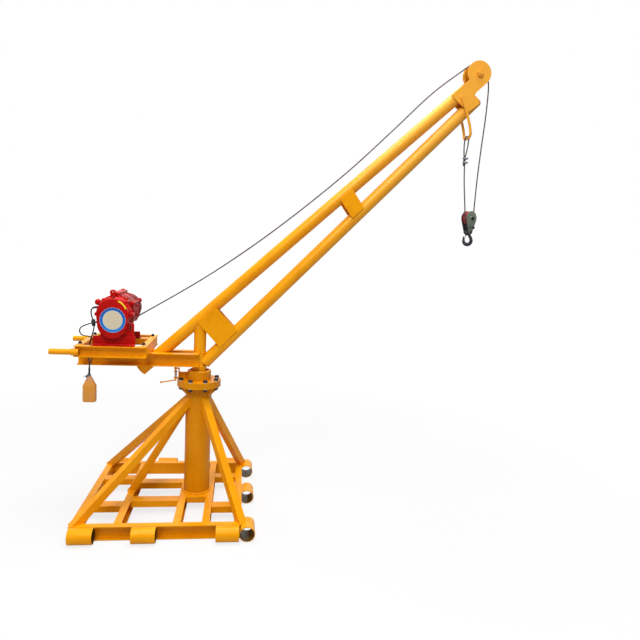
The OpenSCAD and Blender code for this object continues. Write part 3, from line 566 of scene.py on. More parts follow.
def placed(origin: Point, along: Point = UP, across: Point = RIGHT) -> Matrix:
    """A place for a shape drawn about +Z.

    Args:
        origin: where the shape's own origin goes.
        along: the direction its +Z takes.
        across: roughly the direction its +X takes.

    Returns:
        The transform.
    """
    z = Vector(along).normalized()
    x = Vector(across)
    x = x - z * x.dot(z)
    if x.length < 1e-6:
        x = z.orthogonal()
    x.normalize()
    y = z.cross(x)
    turn = Matrix((x, y, z)).transposed().to_4x4()
    return Matrix.Translation(Vector(origin)) @ turn


def facing(origin: Point) -> Matrix:
    """A place that faces the front, its X right and its Y up."""
    return placed(origin, -BACK, RIGHT)


def arc(radius: float, start: float, end: float, steps: int, drop: float = 0.0) -> Outline:
    """Points of a flat arc that far below the origin, its angles in degrees."""
    angles = (math.radians(start + (end - start) * i / steps) for i in range(steps + 1))
    return [(radius * math.cos(a), -drop + radius * math.sin(a)) for a in angles]


def band(outer: float, inner: float, start: float, end: float, steps: int = 60) -> Outline:
    """The outline of a part of a flat ring, its angles in degrees."""
    return arc(outer, start, end, steps) + arc(inner, end, start, steps)


def smooth_route(points: list[Point], steps: int) -> list[Vector]:
    """A smooth curve through points, with that many steps between each pair."""
    knots = [Vector(p) for p in points]
    route: list[Vector] = []
    for i in range(len(knots) - 1):
        a, b = knots[max(i - 1, 0)], knots[i]
        c, d = knots[i + 1], knots[min(i + 2, len(knots) - 1)]
        for k in range(steps):
            t = k / steps
            route.append(0.5 * (2 * b + (c - a) * t + (2 * a - 5 * b + 4 * c - d) * t * t
                                + (3 * b - a - 3 * c + d) * t ** 3))
    return route + [knots[-1]]


def evenly(route: list[Vector], step: float) -> list[Vector]:
    """A route's points moved so that they are about one step apart."""
    total = route_length(route)
    count = max(2, round(total / step))
    spaced, walked, index = [route[0]], 0.0, 0
    for i in range(1, count):
        target = total * i / count
        while walked + (route[index + 1] - route[index]).length < target:
            walked += (route[index + 1] - route[index]).length
            index += 1
        span = (route[index + 1] - route[index]).length
        spaced.append(route[index].lerp(route[index + 1], (target - walked) / span))
    return spaced + [route[-1]]


def route_length(route: list[Vector]) -> float:
    """The length of a route."""
    return sum((b - a).length for a, b in zip(route, route[1:]))


def round_curve(name: str, route: list[Vector], radius: float, steps: int) -> bpy.types.Curve:
    """A capped round bar along a route as a curve, that finely rounded."""
    curve = bpy.data.curves.new(name, "CURVE")
    curve.dimensions = "3D"
    curve.bevel_depth = radius
    curve.bevel_resolution = steps
    curve.use_fill_caps = True
    spline = curve.splines.new("POLY")
    spline.points.add(len(route) - 1)
    for point, at in zip(spline.points, route):
        point.co = (*at, 1.0)
    return curve


class Shape:
    """A mesh grown from bmesh parts into one finished piece."""

    CREASE = math.radians(34.0)
    SHARP = math.radians(30)
    STRANDS = 6
    STEPS_PER_TURN = 9
    MERGE = 1e-6

    def __init__(self, name: str) -> None:
        """Starts an empty shape of that name."""
        self.name = name
        self.bm = bmesh.new()
        self.finishes: list[bpy.types.Material] = []
        self.current = 0

    def paint(self, finish: bpy.types.Material) -> "Shape":
        """What is added from here on gets this finish."""
        if finish not in self.finishes:
            self.finishes.append(finish)
        self.current = self.finishes.index(finish)
        return self

    def take(self, part: bmesh.types.BMesh, place: Matrix | None = None, bevel: float = 0.0,
             segments: int = 2) -> None:
        """Adds a part, placed and with its sharp edges rounded.

        Args:
            part: the bmesh, which is used up.
            place: the part's transform.
            bevel: the rounding of edges sharper than 30 degrees.
            segments: the steps of the rounding.
        """
        if bevel:
            sharp = [e for e in part.edges if e.is_manifold and e.calc_face_angle(0.0) > self.SHARP]
            bmesh.ops.bevel(part, geom=sharp, offset=bevel, offset_type="OFFSET",
                            segments=segments, profile=0.5, affect="EDGES",
                            clamp_overlap=True, material=-1)
        if place is not None:
            bmesh.ops.transform(part, matrix=place, verts=part.verts)
        for face in part.faces:
            face.material_index = self.current
            face.smooth = True
        mesh = bpy.data.meshes.new("part")
        part.to_mesh(mesh)
        part.free()
        self.bm.from_mesh(mesh)
        bpy.data.meshes.remove(mesh)

    def block(self, low: Point, high: Point, bevel: float = 0.0,
              place: Matrix | None = None) -> None:
        """Adds a block between two corners."""
        part = bmesh.new()
        bmesh.ops.create_cube(part, size=1.0)
        low, high = Vector(low), Vector(high)
        bmesh.ops.scale(part, vec=high - low, verts=part.verts)
        bmesh.ops.translate(part, vec=(low + high) / 2, verts=part.verts)
        self.take(part, place, bevel)

    def rod(self, start: Point, end: Point, radius: float,
            tip: float | None = None, sides: int = 32, bevel: float = 0.0) -> None:
        """Adds a round bar, or one that tapers to the tip radius."""
        start, end = Vector(start), Vector(end)
        part = bmesh.new()
        depth = (end - start).length
        bmesh.ops.create_cone(part, cap_ends=True, segments=sides, radius1=radius,
                              radius2=radius if tip is None else tip, depth=depth)
        bmesh.ops.translate(part, vec=(0, 0, depth / 2), verts=part.verts)
        self.take(part, placed(start, end - start), bevel)

    def ball(self, centre: Point, radius: float, squash: Point = (1, 1, 1)) -> None:
        """Adds a ball, or one scaled along the axes."""
        part = bmesh.new()
        bmesh.ops.create_icosphere(part, subdivisions=3, radius=radius)
        bmesh.ops.scale(part, vec=squash, verts=part.verts)
        self.take(part, Matrix.Translation(Vector(centre)))

    def lathe(self, profile: Outline, place: Matrix, steps: int) -> None:
        """Adds a turned part from a closed profile of (radius, height) about +Z."""
        part = bmesh.new()
        verts = [part.verts.new((max(r, 0.0), 0.0, h)) for r, h in profile]
        edges = [part.edges.new((a, b)) for a, b in zip(verts, verts[1:] + verts[:1])
                 if not (a.co.x == 0.0 and b.co.x == 0.0)]
        bmesh.ops.spin(part, geom=verts + edges, cent=(0, 0, 0), axis=(0, 0, 1),
                       angle=FULL_TURN, steps=steps, use_merge=True)
        bmesh.ops.remove_doubles(part, verts=part.verts, dist=self.MERGE)
        bmesh.ops.recalc_face_normals(part, faces=part.faces)
        self.take(part, place)

    def plate(self, outline: Outline, depth: float, place: Matrix, bevel: float = 0.0,
              segments: int = 2) -> None:
        """Adds a flat outline drawn in X and Y and raised to its depth along +Z."""
        part = bmesh.new()
        face = part.faces.new([part.verts.new((x, y, 0.0)) for x, y in outline])
        raised = bmesh.ops.extrude_face_region(part, geom=[face])["geom"]
        bmesh.ops.translate(part, vec=(0, 0, depth),
                            verts=[v for v in raised if isinstance(v, bmesh.types.BMVert)])
        bmesh.ops.recalc_face_normals(part, faces=part.faces)
        self.take(part, place, bevel, segments)

    def loft(self, rings: list[list[Vector]], closed: bool) -> None:
        """Adds a skin over level outlines of the same count of points, from the lowest up.

        Args:
            rings: the outlines.
            closed: whether the first and the last are filled.
        """
        part = bmesh.new()
        below: list[bmesh.types.BMEdge] = []
        for at, outline in enumerate(rings):
            verts = [part.verts.new(point) for point in outline]
            edges = [part.edges.new((a, b)) for a, b in zip(verts, verts[1:] + verts[:1])]
            if below:
                bmesh.ops.bridge_loops(part, edges=below + edges)
            if closed and at in (0, len(rings) - 1):
                bmesh.ops.contextual_create(part, geom=edges)
            below = edges
        bmesh.ops.recalc_face_normals(part, faces=part.faces)
        self.take(part)

    def sweep(self, route: list[Vector], radius: float, sides: int = 12,
              swell: list[float] | None = None, closed: bool = False) -> None:
        """Adds a round bar along a route.

        Args:
            route: the points of its centre line.
            radius: the bar's radius.
            sides: how many sides it has, an even number of 4 or more.
            swell: each point's share of the radius.
            closed: whether its ends meet.
        """
        curve = round_curve("sweep", route, radius, (sides - 4) // 2)
        spline = curve.splines[0]
        for point, share in zip(spline.points, swell or ()):
            point.radius = share
        spline.use_cyclic_u = closed
        holder = bpy.data.objects.new("sweep", curve)
        mesh = bpy.data.meshes.new_from_object(holder)
        part = bmesh.new()
        part.from_mesh(mesh)
        bmesh.ops.remove_doubles(part, verts=part.verts, dist=self.MERGE)
        bmesh.ops.recalc_face_normals(part, faces=part.faces)
        bpy.data.objects.remove(holder)
        bpy.data.curves.remove(curve)
        bpy.data.meshes.remove(mesh)
        self.take(part)

    def strands(self, route: list[Vector], rope_radius: float, pitch: float) -> None:
        """Adds a laid wire rope along a route, strand by strand.

        Args:
            route: the points of its centre line.
            rope_radius: the rope's outer radius.
            pitch: the length in which a strand turns once round.
        """
        line = evenly(route, pitch / self.STEPS_PER_TURN)
        share = math.sin(math.pi / self.STRANDS)
        strand_radius = rope_radius * share / (1.0 + share)
        ring = rope_radius - strand_radius
        side = (line[1] - line[0]).orthogonal().normalized()
        frames: list[tuple[Vector, Vector]] = []
        for i, point in enumerate(line):
            ahead = (line[min(i + 1, len(line) - 1)] - line[max(i - 1, 0)]).normalized()
            side = (side - ahead * side.dot(ahead)).normalized()
            frames.append((side.copy(), ahead.cross(side)))
        for k in range(self.STRANDS):
            wound = []
            for i, (point, (u, v)) in enumerate(zip(line, frames)):
                angle = FULL_TURN * (i / self.STEPS_PER_TURN + k / self.STRANDS)
                wound.append(point + ring * (math.cos(angle) * u + math.sin(angle) * v))
            self.sweep(wound, strand_radius * 1.12, sides=6)

    def bead(self, route: list[Vector], radius: float, closed: bool = False, seed: int = 1) -> None:
        """Adds a weld bead: a low rounded run with fine, uneven ripples."""
        draw = random.Random(seed)
        line = evenly(route, max(0.0035, radius * 0.7))
        swell = [1.0 + 0.16 * math.sin(2.1 * i) + draw.uniform(-0.12, 0.12)
                 for i in range(len(line))]
        if closed:
            line, swell = line[:-1], swell[:-1]
        self.sweep(line, radius, sides=6, swell=swell, closed=closed)

    def seam(self, start: Point, end: Point, radius: float, seed: int) -> None:
        """Adds a straight weld bead."""
        self.bead([Vector(start), Vector(end)], radius, seed=seed)

    def build(self, body: Body, slot: Slot, replaces: tuple[str, ...] = (),
              rides: bool = True) -> bpy.types.Object:
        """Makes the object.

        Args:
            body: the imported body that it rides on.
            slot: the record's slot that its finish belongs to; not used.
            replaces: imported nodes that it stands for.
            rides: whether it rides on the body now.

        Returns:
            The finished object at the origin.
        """
        mesh = bpy.data.meshes.new(self.name)
        self.bm.to_mesh(mesh)
        self.bm.free()
        for finish in self.finishes:
            mesh.materials.append(finish)
        mesh.set_sharp_from_angle(angle=self.CREASE)
        made = linked(self.name, mesh)
        if replaces:
            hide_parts(*replaces)
        if rides:
            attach(made, body.value)
        LOG.info("%s on %s: %d faces", self.name, body.value, len(mesh.polygons))
        return made


def bolt(shape: Shape, head: Point, out: Point, across: float, height: float, palette: Palette,
         washer: bool = True, nut: bool = False) -> None:
    """Adds a hexagon head or a nut with its washer.

    Args:
        shape: the shape that it joins.
        head: the centre of the seat that it is tightened on.
        out: the way it stands off the seat.
        across: its size across flats.
        height: its height.
        palette: the finishes.
        washer: whether a washer lies under it.
        nut: whether it is a nut, with the thread's end standing out.
    """
    head, out = Vector(head), Vector(out).normalized()
    corner = across / math.cos(math.radians(30)) / 2
    if washer:
        shape.paint(palette.zinc).rod(head - out * 0.0002, head + out * 0.0022, across * 0.62,
                                      sides=28, bevel=0.0005)
        head = head + out * 0.0022
    shape.paint(palette.bolt).rod(head, head + out * height, corner, sides=6, bevel=across * 0.045)
    cap = head + out * height
    if nut:
        thread = across * 0.32
        shape.rod(cap - out * 0.001, cap + out * across * 0.28, thread, sides=20,
                  bevel=thread * 0.2)
        for k in range(3):
            seat = cap + out * (0.0015 + k * across * 0.07)
            shape.rod(seat, seat + out * across * 0.03, thread * 1.08, sides=20)
    else:
        shape.rod(cap - out * 0.0002, cap + out * 0.0006, across * 0.42, sides=24)


# ---------- camera, light and floor ----------


@dataclass
class Studio:
    """The camera, the pale floor and the soft lights."""

    eye: tuple[float, float, float] = (0.243, -3.642, 1.648)
    yaw: float = 7.971
    pitch: float = 6.805
    roll: float = 2.827
    focal: float = 575.994
    frame_width: float = 640.0
    sensor: float = 36.0
    floor_radius: float = 70.0
    sky: float = 0.30
    overhead: float = 380.0
    key: float = 274.0

    def camera(self) -> None:
        """Places the camera and makes it the scene's own."""
        yaw, pitch, roll = (math.radians(a) for a in (self.yaw, self.pitch, self.roll))
        ahead = Vector((math.sin(yaw) * math.cos(pitch), math.cos(yaw) * math.cos(pitch),
                        -math.sin(pitch)))
        level = Vector((math.cos(yaw), -math.sin(yaw), 0.0))
        upright = level.cross(ahead)
        right = math.cos(roll) * level + math.sin(roll) * upright
        top = math.cos(roll) * upright - math.sin(roll) * level
        data = bpy.data.cameras.new("camera")
        data.sensor_width = self.sensor
        data.lens = self.focal / self.frame_width * self.sensor
        data.clip_end = 200.0
        made = linked("camera", data)
        turn = Matrix((right, top, -ahead)).transposed().to_4x4()
        made.matrix_world = Matrix.Translation(Vector(self.eye)) @ turn
        bpy.context.scene.camera = made

    def world(self) -> None:
        """A plain pale sky that looks white and lights softly."""
        world = bpy.data.worlds.new("studio")
        world.use_nodes = True
        bpy.context.scene.world = world
        g = Graph(world.node_tree)
        rays = g.node("LightPath")
        camera, glass, gloss = (g.value(rays, f"Is {kind} Ray")
                                for kind in ("Camera", "Transmission", "Glossy"))
        shown = g.math("MAXIMUM", g.math("MAXIMUM", camera, glass), gloss)
        strength = g.node("MapRange", None, {"Value": shown, "To Min": self.sky, "To Max": 1.0})
        sky = g.node("Background", None, {"Color": (1.0, 1.0, 1.0), "Strength": g.value(strength)})
        g.node("OutputWorld", None, {"Surface": g.value(sky)})

    def floor(self) -> None:
        """A wide pale floor that stays white to the eye and keeps the crane's shadow."""
        g = Finish("studio_floor")
        g.finish(Base_Color=(0.55, 0.55, 0.55), Roughness=0.9, Specular_IOR_Level=0.1)
        camera = g.value(g.node("LightPath"), "Is Camera Ray")
        axes = g.axes(g.place())
        share = g.between(g.length(axes["X"], axes["Y"]), 1.2, 6.0, (0.72, 1.0))
        glow = g.node("Emission", None, {"Color": (1.0, 1.0, 1.0), "Strength": 1.08})
        mixed = g.node("MixShader", None,
                       {0: camera * share, 1: g.value(g.shader, "BSDF"), 2: g.value(glow)})
        g.feed(g.output.inputs["Surface"], g.value(mixed))
        part = bmesh.new()
        bmesh.ops.create_circle(part, cap_ends=True, segments=64, radius=self.floor_radius)
        bmesh.ops.translate(part, vec=(0, 0, -0.0005), verts=part.verts)
        mesh = bpy.data.meshes.new("floor")
        part.to_mesh(mesh)
        part.free()
        mesh.materials.append(g.material)
        made = linked("floor", mesh)

    def lamp(self, name: str, at: Point, towards: Point, size: float, watts: float) -> None:
        """One square area lamp."""
        data = bpy.data.lights.new(name, "AREA")
        data.shape = "SQUARE"
        data.size = size
        data.energy = watts
        linked(name, data).matrix_world = placed(at, Vector(at) - Vector(towards))

    def build(self) -> None:
        """Sets up the camera, the light and the floor."""
        self.camera()
        self.world()
        self.floor()
        self.lamp("overhead", (0.4, 0.2, 6.5), (0.4, 0.2, 1.0), 4.0, self.overhead)
        self.lamp("key", (-0.9, -4.7, 6.1), (0.4, 0.0, 1.2), 2.5, self.key)
        bpy.context.scene.view_settings.view_transform = "Standard"


# ---------- the cords ----------


def cord_curve(name: str, route: list[Vector], diameter: float,
               finish: bpy.types.Material) -> bpy.types.Object:
    """A round cord as one open curve.

    Args:
        name: the piece's name.
        route: the points of its centre line.
        diameter: its diameter.
        finish: its sheath.

    Returns:
        The curve object.
    """
    curve = round_curve(name, route, diameter / 2, 5)
    curve.splines[0].use_smooth = True
    curve.materials.append(finish)
    return linked(name, curve)


@dataclass
class Cords:
    """The pendant's cable and the mains lead that hang from the winch's glands."""

    RELIEF_LENGTH = 0.024

    pendant_exit: Point = (-0.5844, -0.170, 1.261)
    pendant_bends: tuple = (
        (-0.5904, -0.170, 1.261), (-0.603, -0.168, 1.2575), (-0.6125, -0.165, 1.248),
        (-0.616, -0.162, 1.235), (-0.616, -0.159, 1.218), (-0.611, -0.156, 1.197),
        (-0.605, -0.153, 1.175), (-0.602, -0.150, 1.150), (-0.608, -0.146, 1.115),
        (-0.621, -0.141, 1.075), (-0.632, -0.134, 1.030), (-0.637, -0.127, 0.960),
        (-0.634, -0.121, 0.890), (-0.634, -0.120, 0.8404),
    )
    pendant_diameter: float = 0.0075
    mains_exit: Point = (-0.5744, -0.170, 1.175)
    mains_bends: tuple = (
        (-0.5824, -0.170, 1.175), (-0.604, -0.166, 1.170), (-0.630, -0.159, 1.161),
        (-0.652, -0.152, 1.152), (-0.670, -0.147, 1.143), (-0.681, -0.1445, 1.132),
        (-0.685, -0.143, 1.117), (-0.681, -0.141, 1.102), (-0.670, -0.1385, 1.091),
        (-0.655, -0.1355, 1.086), (-0.640, -0.132, 1.084), (-0.626, -0.128, 1.079),
        (-0.616, -0.124, 1.069), (-0.612, -0.120, 1.055), (-0.612, -0.115, 1.025),
        (-0.616, -0.108, 0.985), (-0.625, -0.101, 0.945), (-0.637, -0.0955, 0.913),
        (-0.644, -0.0925, 0.888), (-0.645, -0.092, 0.870), (-0.645, -0.092, 0.861),
    )
    mains_end: Point = (-0.645, -0.092, 0.8534)
    mains_diameter: float = 0.007

    def sheathed(self, name: str, route: list[Vector], diameter: float,
                 palette: Palette) -> bpy.types.Object:
        """One cord riding on the jib."""
        made = cord_curve(name, route, diameter, palette.rubber)
        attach(made, Body.JIB.value)
        return made

    def reliefs(self, palette: Palette) -> bpy.types.Object:
        """The tapered strain reliefs at both glands."""
        shape = Shape("strain_reliefs").paint(palette.black)
        lanes = ((self.pendant_exit, self.pendant_bends, self.pendant_diameter),
                 (self.mains_exit, self.mains_bends, self.mains_diameter))
        for start, bends, diameter in lanes:
            route = evenly(smooth_route([start, *bends[:5]], 8), 0.0015)
            along, walked = [route[0]], 0.0
            for a, b in zip(route, route[1:]):
                walked += (b - a).length
                if walked > self.RELIEF_LENGTH:
                    break
                along.append(b)
            count = len(along) - 1
            swell = [1.0 - 0.38 * i / count + (0.06 if i % 3 == 1 else 0.0)
                     for i in range(count + 1)]
            shape.sweep(along, diameter * 0.95, sides=20, swell=swell)
        return shape.build(Body.JIB, Slot.BLACK_PLASTIC)

    def ties(self, palette: Palette) -> bpy.types.Object:
        """The tape round both cords below the glands, and the tie lower down."""
        shape = Shape("cord_ties").paint(palette.black)
        lump = [Vector(p) for p in (
            (-0.6055, -0.1585, 1.1900), (-0.6050, -0.1585, 1.1860), (-0.6048, -0.1588, 1.1800),
            (-0.6040, -0.1590, 1.1730), (-0.6035, -0.1585, 1.1660), (-0.6030, -0.1575, 1.1590),
            (-0.6026, -0.1565, 1.1530), (-0.6025, -0.1560, 1.1490))]
        wraps = [0.72, 0.8, 0.9, 1.0, 0.97, 1.03, 1.0, 1.05, 0.99, 1.04, 0.98, 1.05,
                 1.0, 1.03, 0.97, 1.0, 0.96, 1.0, 0.92, 0.86, 0.8, 0.66]
        shape.sweep(smooth_route(lump, 3), 0.0108, 16, wraps)
        middle = Vector((-0.6190, -0.1305, 1.0620))
        along, across = Vector((0.0050, 0.0085, 0.0)).normalized(), Vector((-0.862, 0.507, 0.0))
        loop = [middle + along * (0.0152 * math.cos(a)) + across * (0.0058 * math.sin(a))
                for a in (FULL_TURN * i / 40 for i in range(40))]
        shape.sweep(loop, 0.0013, 8, closed=True)
        return shape.build(Body.JIB, Slot.BLACK_PLASTIC)

    def build(self, palette: Palette, plug: bpy.types.Object) -> None:
        """Builds both cords.

        Args:
            palette: the finishes.
            plug: the plug on the mains lead's end; not used.
        """
        pendant = [Vector(self.pendant_exit)] + smooth_route(list(self.pendant_bends), 8)
        mains = [Vector(self.mains_exit)] + smooth_route(list(self.mains_bends), 8)
        mains.append(Vector(self.mains_end))
        LOG.info("cord lengths: %.4f %.4f", route_length(pendant), route_length(mains))
        cable = self.sheathed("pendant_cord", pendant, self.pendant_diameter, palette)
        lead = self.sheathed("mains_cord", mains, self.mains_diameter, palette)
        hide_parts("pendant_cable")
        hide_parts("mains_lead")
        reliefs, ties = self.reliefs(palette), self.ties(palette)
        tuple(self.pendant_exit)
        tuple(self.mains_exit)


# ---------- the winch ----------


def pear(top: float, bottom: float, drop: float, steps: int = 36) -> Outline:
    """The outline round a circle and a smaller one that far below it."""
    lean = math.degrees(math.asin((top - bottom) / drop))
    return arc(top, -lean, 180 + lean, steps) + arc(bottom, 180 + lean, 360 - lean, steps, drop)


def ring(inner: float, outer: float, low: float, high: float, soft: float = 0.0015) -> Outline:
    """The closed profile of a flat ring with its outer corners taken off."""
    return [(inner, low), (outer - soft, low), (outer, low + soft), (outer, high - soft),
            (outer - soft, high), (inner, high)]


def polar(radius: float, degrees: float) -> tuple[float, float]:
    """A point of a circle."""
    turn = math.radians(degrees)
    return radius * math.cos(turn), radius * math.sin(turn)


class Winch:
    """The electric rope winch: two castings, a cover, a drum, a motor and its feet.

    FRONT, DRUM_FRONT, DRUM_BACK and REAR are places along Y, FREE is the gap beside the drum, and
    FEET_HIGH is how thick the feet's plates are.
    """

    TIES = (30, 150, 225, 282)
    TIE_RADIUS = 0.111
    TIE_NUT = 0.0105
    RING = 0.104
    CASTING = 0.097
    FRONT = -0.200
    DRUM_FRONT = -0.135
    DRUM_BACK = 0.080
    REAR = 0.240
    FREE = 0.005
    FEET_HIGH = 0.006
    FIN_COUNT = 30

    def __init__(self, palette: Palette) -> None:
        """Finds the drum's axis and the tray's top."""
        self.palette = palette
        self.x, _, self.z = centre_of("drum")
        self.tray_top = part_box("tray_frame")[1].z
        self.leg_low = self.tray_top + self.FEET_HIGH - self.z

    def facing(self, y: float) -> Matrix:
        """A place on the drum's axis that faces the front, its X right and its Y up."""
        return facing((self.x, y, self.z))

    def disc(self, shape: Shape, at: tuple[float, float], radius: float, rear: float, front: float,
             bevel: float = 0.002, sides: int = 32) -> None:
        """Adds a round boss along the axis between two depths."""
        x, z = self.x + at[0], self.z + at[1]
        shape.rod((x, rear, z), (x, front, z), radius, sides=sides, bevel=bevel)

    def slab(self, shape: Shape, low: tuple[float, float], high: tuple[float, float],
             rear: float, front: float, bevel: float = 0.002) -> None:
        """Adds a block beside the axis between two depths."""
        shape.block((self.x + low[0], front, self.z + low[1]),
                    (self.x + high[0], rear, self.z + high[1]), bevel)

    def collar(self, shape: Shape, rear: float, thick: float, finish: bpy.types.Material) -> None:
        """Adds a casting's ring with its lugs towards the drum."""
        shape.paint(finish).lathe(ring(0.0, self.RING, 0.0, thick, 0.003), self.facing(rear), 96)
        shape.paint(self.palette.winch)
        for turn in self.TIES:
            self.disc(shape, polar(self.TIE_RADIUS, turn), 0.014, rear, rear - thick, 0.003)
        self.slab(shape, (-0.022, 0.09), (0.022, self.RING + 0.015), rear, rear - thick, 0.004)

    def front_casting(self) -> None:
        """The gear casting, its cover with the label, and its lugs."""
        palette = self.palette
        shape = Shape("winch_front_casting").paint(palette.winch)
        back = self.DRUM_FRONT - self.FREE
        self.collar(shape, back, 0.012, palette.winch)
        body = [(0.0, 0.0), (self.CASTING, 0.0), (self.CASTING, 0.040),
                (0.0965, 0.048), (0.094, 0.055), (0.0905, 0.0588), (0.086, 0.060), (0.085, 0.060),
                (0.085, 0.0664), (0.0, 0.0664)]
        shape.lathe(body, self.facing(back), 96)
        leg = [(-0.072, -0.05), (-0.072, self.leg_low), (0.116, self.leg_low),
               (0.116, -0.058), (0.104, -0.054), (0.088, -0.056), (0.080, -0.040)]
        shape.plate(leg, 0.014, self.facing(self.FRONT + 0.014), 0.0022)
        for side in (-0.060, 0.060):
            self.slab(shape, (side - 0.004, self.leg_low), (side + 0.004, -0.09), self.FRONT + 0.04,
                      self.FRONT + 0.014)
        for turn, radius in ((-4, 0.014), (184, 0.012), (44, 0.010), (128, 0.010), (-38, 0.013)):
            at = polar(self.CASTING, turn)
            self.disc(shape, at, radius, back - 0.004, self.FRONT + 0.008, 0.004)
            self.disc(shape, at, radius * 0.62, self.FRONT + 0.008, self.FRONT + 0.003, 0.001, 6)
        for turn in range(100, 175, 15):
            self.disc(shape, polar(0.0985, turn), 0.0042, back - 0.030,
                      self.FRONT + 0.012, 0.0018, 12)
        self.lifting_eye(shape)
        self.side_knob(shape)
        for turn in self.TIES:
            self.disc(shape, polar(self.TIE_RADIUS, turn), self.TIE_NUT, back - 0.012,
                      back - 0.021, 0.001, 6)
        cover_y = self.FRONT - 0.0064
        shape.paint(palette.winch_smooth)
        shape.plate(pear(0.0895, 0.0840, 0.058), 0.029, self.facing(cover_y), 0.0034, 4)
        for at in ((-0.079, 0.014), (-0.052, 0.066), (0.079, -0.104), (-0.066, -0.104)):
            self.disc(shape, at, 0.0046, cover_y - 0.028, cover_y - 0.0312, 0.001, 6)
        self.label(shape, cover_y - 0.029)
        shape.paint(palette.stripe)
        stripe = band(0.0862, 0.0790, 67, 23, 24)
        shape.plate(stripe, 0.0010, self.facing(cover_y - 0.0288), 0.0003)
        # Near-black blocks in the slot by the eye and the slot in the leg: painted shade.
        shape.paint(palette.shade_black)
        self.slab(shape, (-0.004, 0.0880), (0.006, 0.0978), self.FRONT + 0.014,
                  self.FRONT + 0.0002, 0.001)
        self.slab(shape, (0.092, -0.098), (0.101, -0.064), self.FRONT + 0.010,
                  self.FRONT - 0.0008, 0.001)
        shape.build(Body.JIB, Slot.WINCH_PAINT, ("winch_housing",))

    def guard(self) -> None:
        """The shell over the drum's right and top, with its rims, ribs and two plugs."""
        # The guard wears the deeper red: painted shade.
        shape = Shape("winch_drum_guard").paint(self.palette.winch_painted_shade)
        front, rear = self.DRUM_FRONT - self.FREE, 0.026
        outer, inner = 0.1075, 0.1035
        start, end = -38.0, 97.0
        shell = band(outer, inner, start, end)
        shape.plate(shell, rear - front, self.facing(rear), 0.0)
        rim = band(0.1120, inner, start, end)
        shape.plate(rim, 0.013, self.facing(rear + 0.004), 0.003, 3)
        bead = band(0.1100, inner, start, end)
        shape.plate(bead, 0.010, self.facing(-0.085), 0.003, 3)
        for turn in (52, 76):
            x, z = polar(0.1085, turn)
            place = placed((self.x + x, 0.5 * (front + rear), self.z + z), BACK,
                           Vector((x, 0.0, z)))
            half = 0.5 * (rear - front)
            shape.block((-0.003, -0.0026, -half), (0.0035, 0.0026, half), 0.0014, place)
        for turn, y in ((20, -0.055), (-10, -0.045)):
            x, z = polar(0.1060, turn)
            out = Vector((x, 0.0, z)).normalized()
            foot = Vector((self.x + x, y, self.z + z))
            shape.rod(foot, foot + out * 0.0075, 0.012, 0.0105, 28, 0.002)
            shape.rod(foot + out * 0.0070, foot + out * 0.0125, 0.0075, sides=6, bevel=0.0007)
        shape.build(Body.JIB, Slot.WINCH_PAINT)

    def lifting_eye(self, shape: Shape) -> None:
        """Adds the eye over the front casting."""
        at = (-0.008, 0.122)
        shape.plate([(-0.022, 0.085), (0.006, 0.085), (0.006, at[1]), (-0.022, at[1])], 0.030,
                    self.facing(-0.159), 0.003)
        place = facing((self.x + at[0], -0.158, self.z + at[1]))
        rim = [(0.006, 0.0), (0.0135, 0.0), (0.016, 0.0025), (0.016, 0.0295),
               (0.0135, 0.032), (0.0075, 0.032), (0.006, 0.0305)]
        shape.lathe(rim, place, 40)

    def side_knob(self, shape: Shape) -> None:
        """Adds the round knob on the casting's left shoulder."""
        x, z = self.x - 0.093, self.z + 0.060
        shape.rod((x + 0.030, -0.165, z - 0.018), (x, -0.165, z), 0.015, 0.012, 28, 0.002)
        shape.ball((x - 0.001, -0.165, z + 0.001), 0.0185, (1.0, 0.85, 1.0))

    def label(self, shape: Shape, face: float) -> None:
        """Adds the round label and the rim that it lies in."""
        centre = (self.x + 0.0035, face, self.z - 0.0335)
        place = facing(centre)
        shape.lathe(ring(0.0722, 0.0734, -0.0005, 0.0009, 0.0003), place, 96)
        shape.paint(DialLabel(centre, 0.0722, 0.0545).material())
        shape.lathe([(0.0, -0.0003), (0.0722, -0.0003), (0.0722, 0.0005), (0.0, 0.0005)], place, 96)

    def rear_casting(self) -> None:
        """The motor with its ring, fan cover and tie rods."""
        palette = self.palette
        shape = Shape("winch_rear_casting").paint(palette.winch)
        face = self.DRUM_BACK + self.FREE
        self.collar(shape, face + 0.016, 0.016, palette.iron)
        self.disc(shape, (-0.004, self.RING + 0.006), 0.015, face + 0.016, face, 0.003)
        leg = [(-0.093, -0.03), (-0.093, self.leg_low), (0.062, self.leg_low), (0.062, -0.055)]
        shape.plate(leg, 0.010, self.facing(face + 0.010), 0.002)
        rods = face - self.DRUM_FRONT + self.FREE
        for turn in self.TIES:
            at = polar(self.TIE_RADIUS, turn)
            self.disc(shape, at, 0.007, face + 0.001, face - rods, 0.0005, 24)
            self.disc(shape, at, self.TIE_NUT, face + 0.024, face + 0.016, 0.001, 6)
        self.slab(shape, (-0.022, self.RING), (0.022, self.RING + 0.015), face + 0.001,
                  face - rods, 0.0035)
        end = self.REAR
        depth = end - face - 0.014
        motor = [(0.0, 0.0), (0.078, 0.0), (0.084, 0.004), (0.088, 0.012),
                 (0.088, 0.030), (0.084, 0.031), (0.084, 0.128), (0.088, 0.129),
                 (0.088, depth), (0.0, depth)]
        shape.lathe(motor, self.facing(end), 96)
        for i in range(self.FIN_COUNT):
            x, z = polar(1.0, i * 360 / self.FIN_COUNT)
            out = Vector((x, 0.0, z))
            middle = Vector((self.x, 0.0, self.z)) + out * 0.0855
            place = placed(middle + BACK * 0.160, BACK, out)
            shape.block((-0.0035, -0.0014, -0.048), (0.0035, 0.0014, 0.048), 0.0006, place)
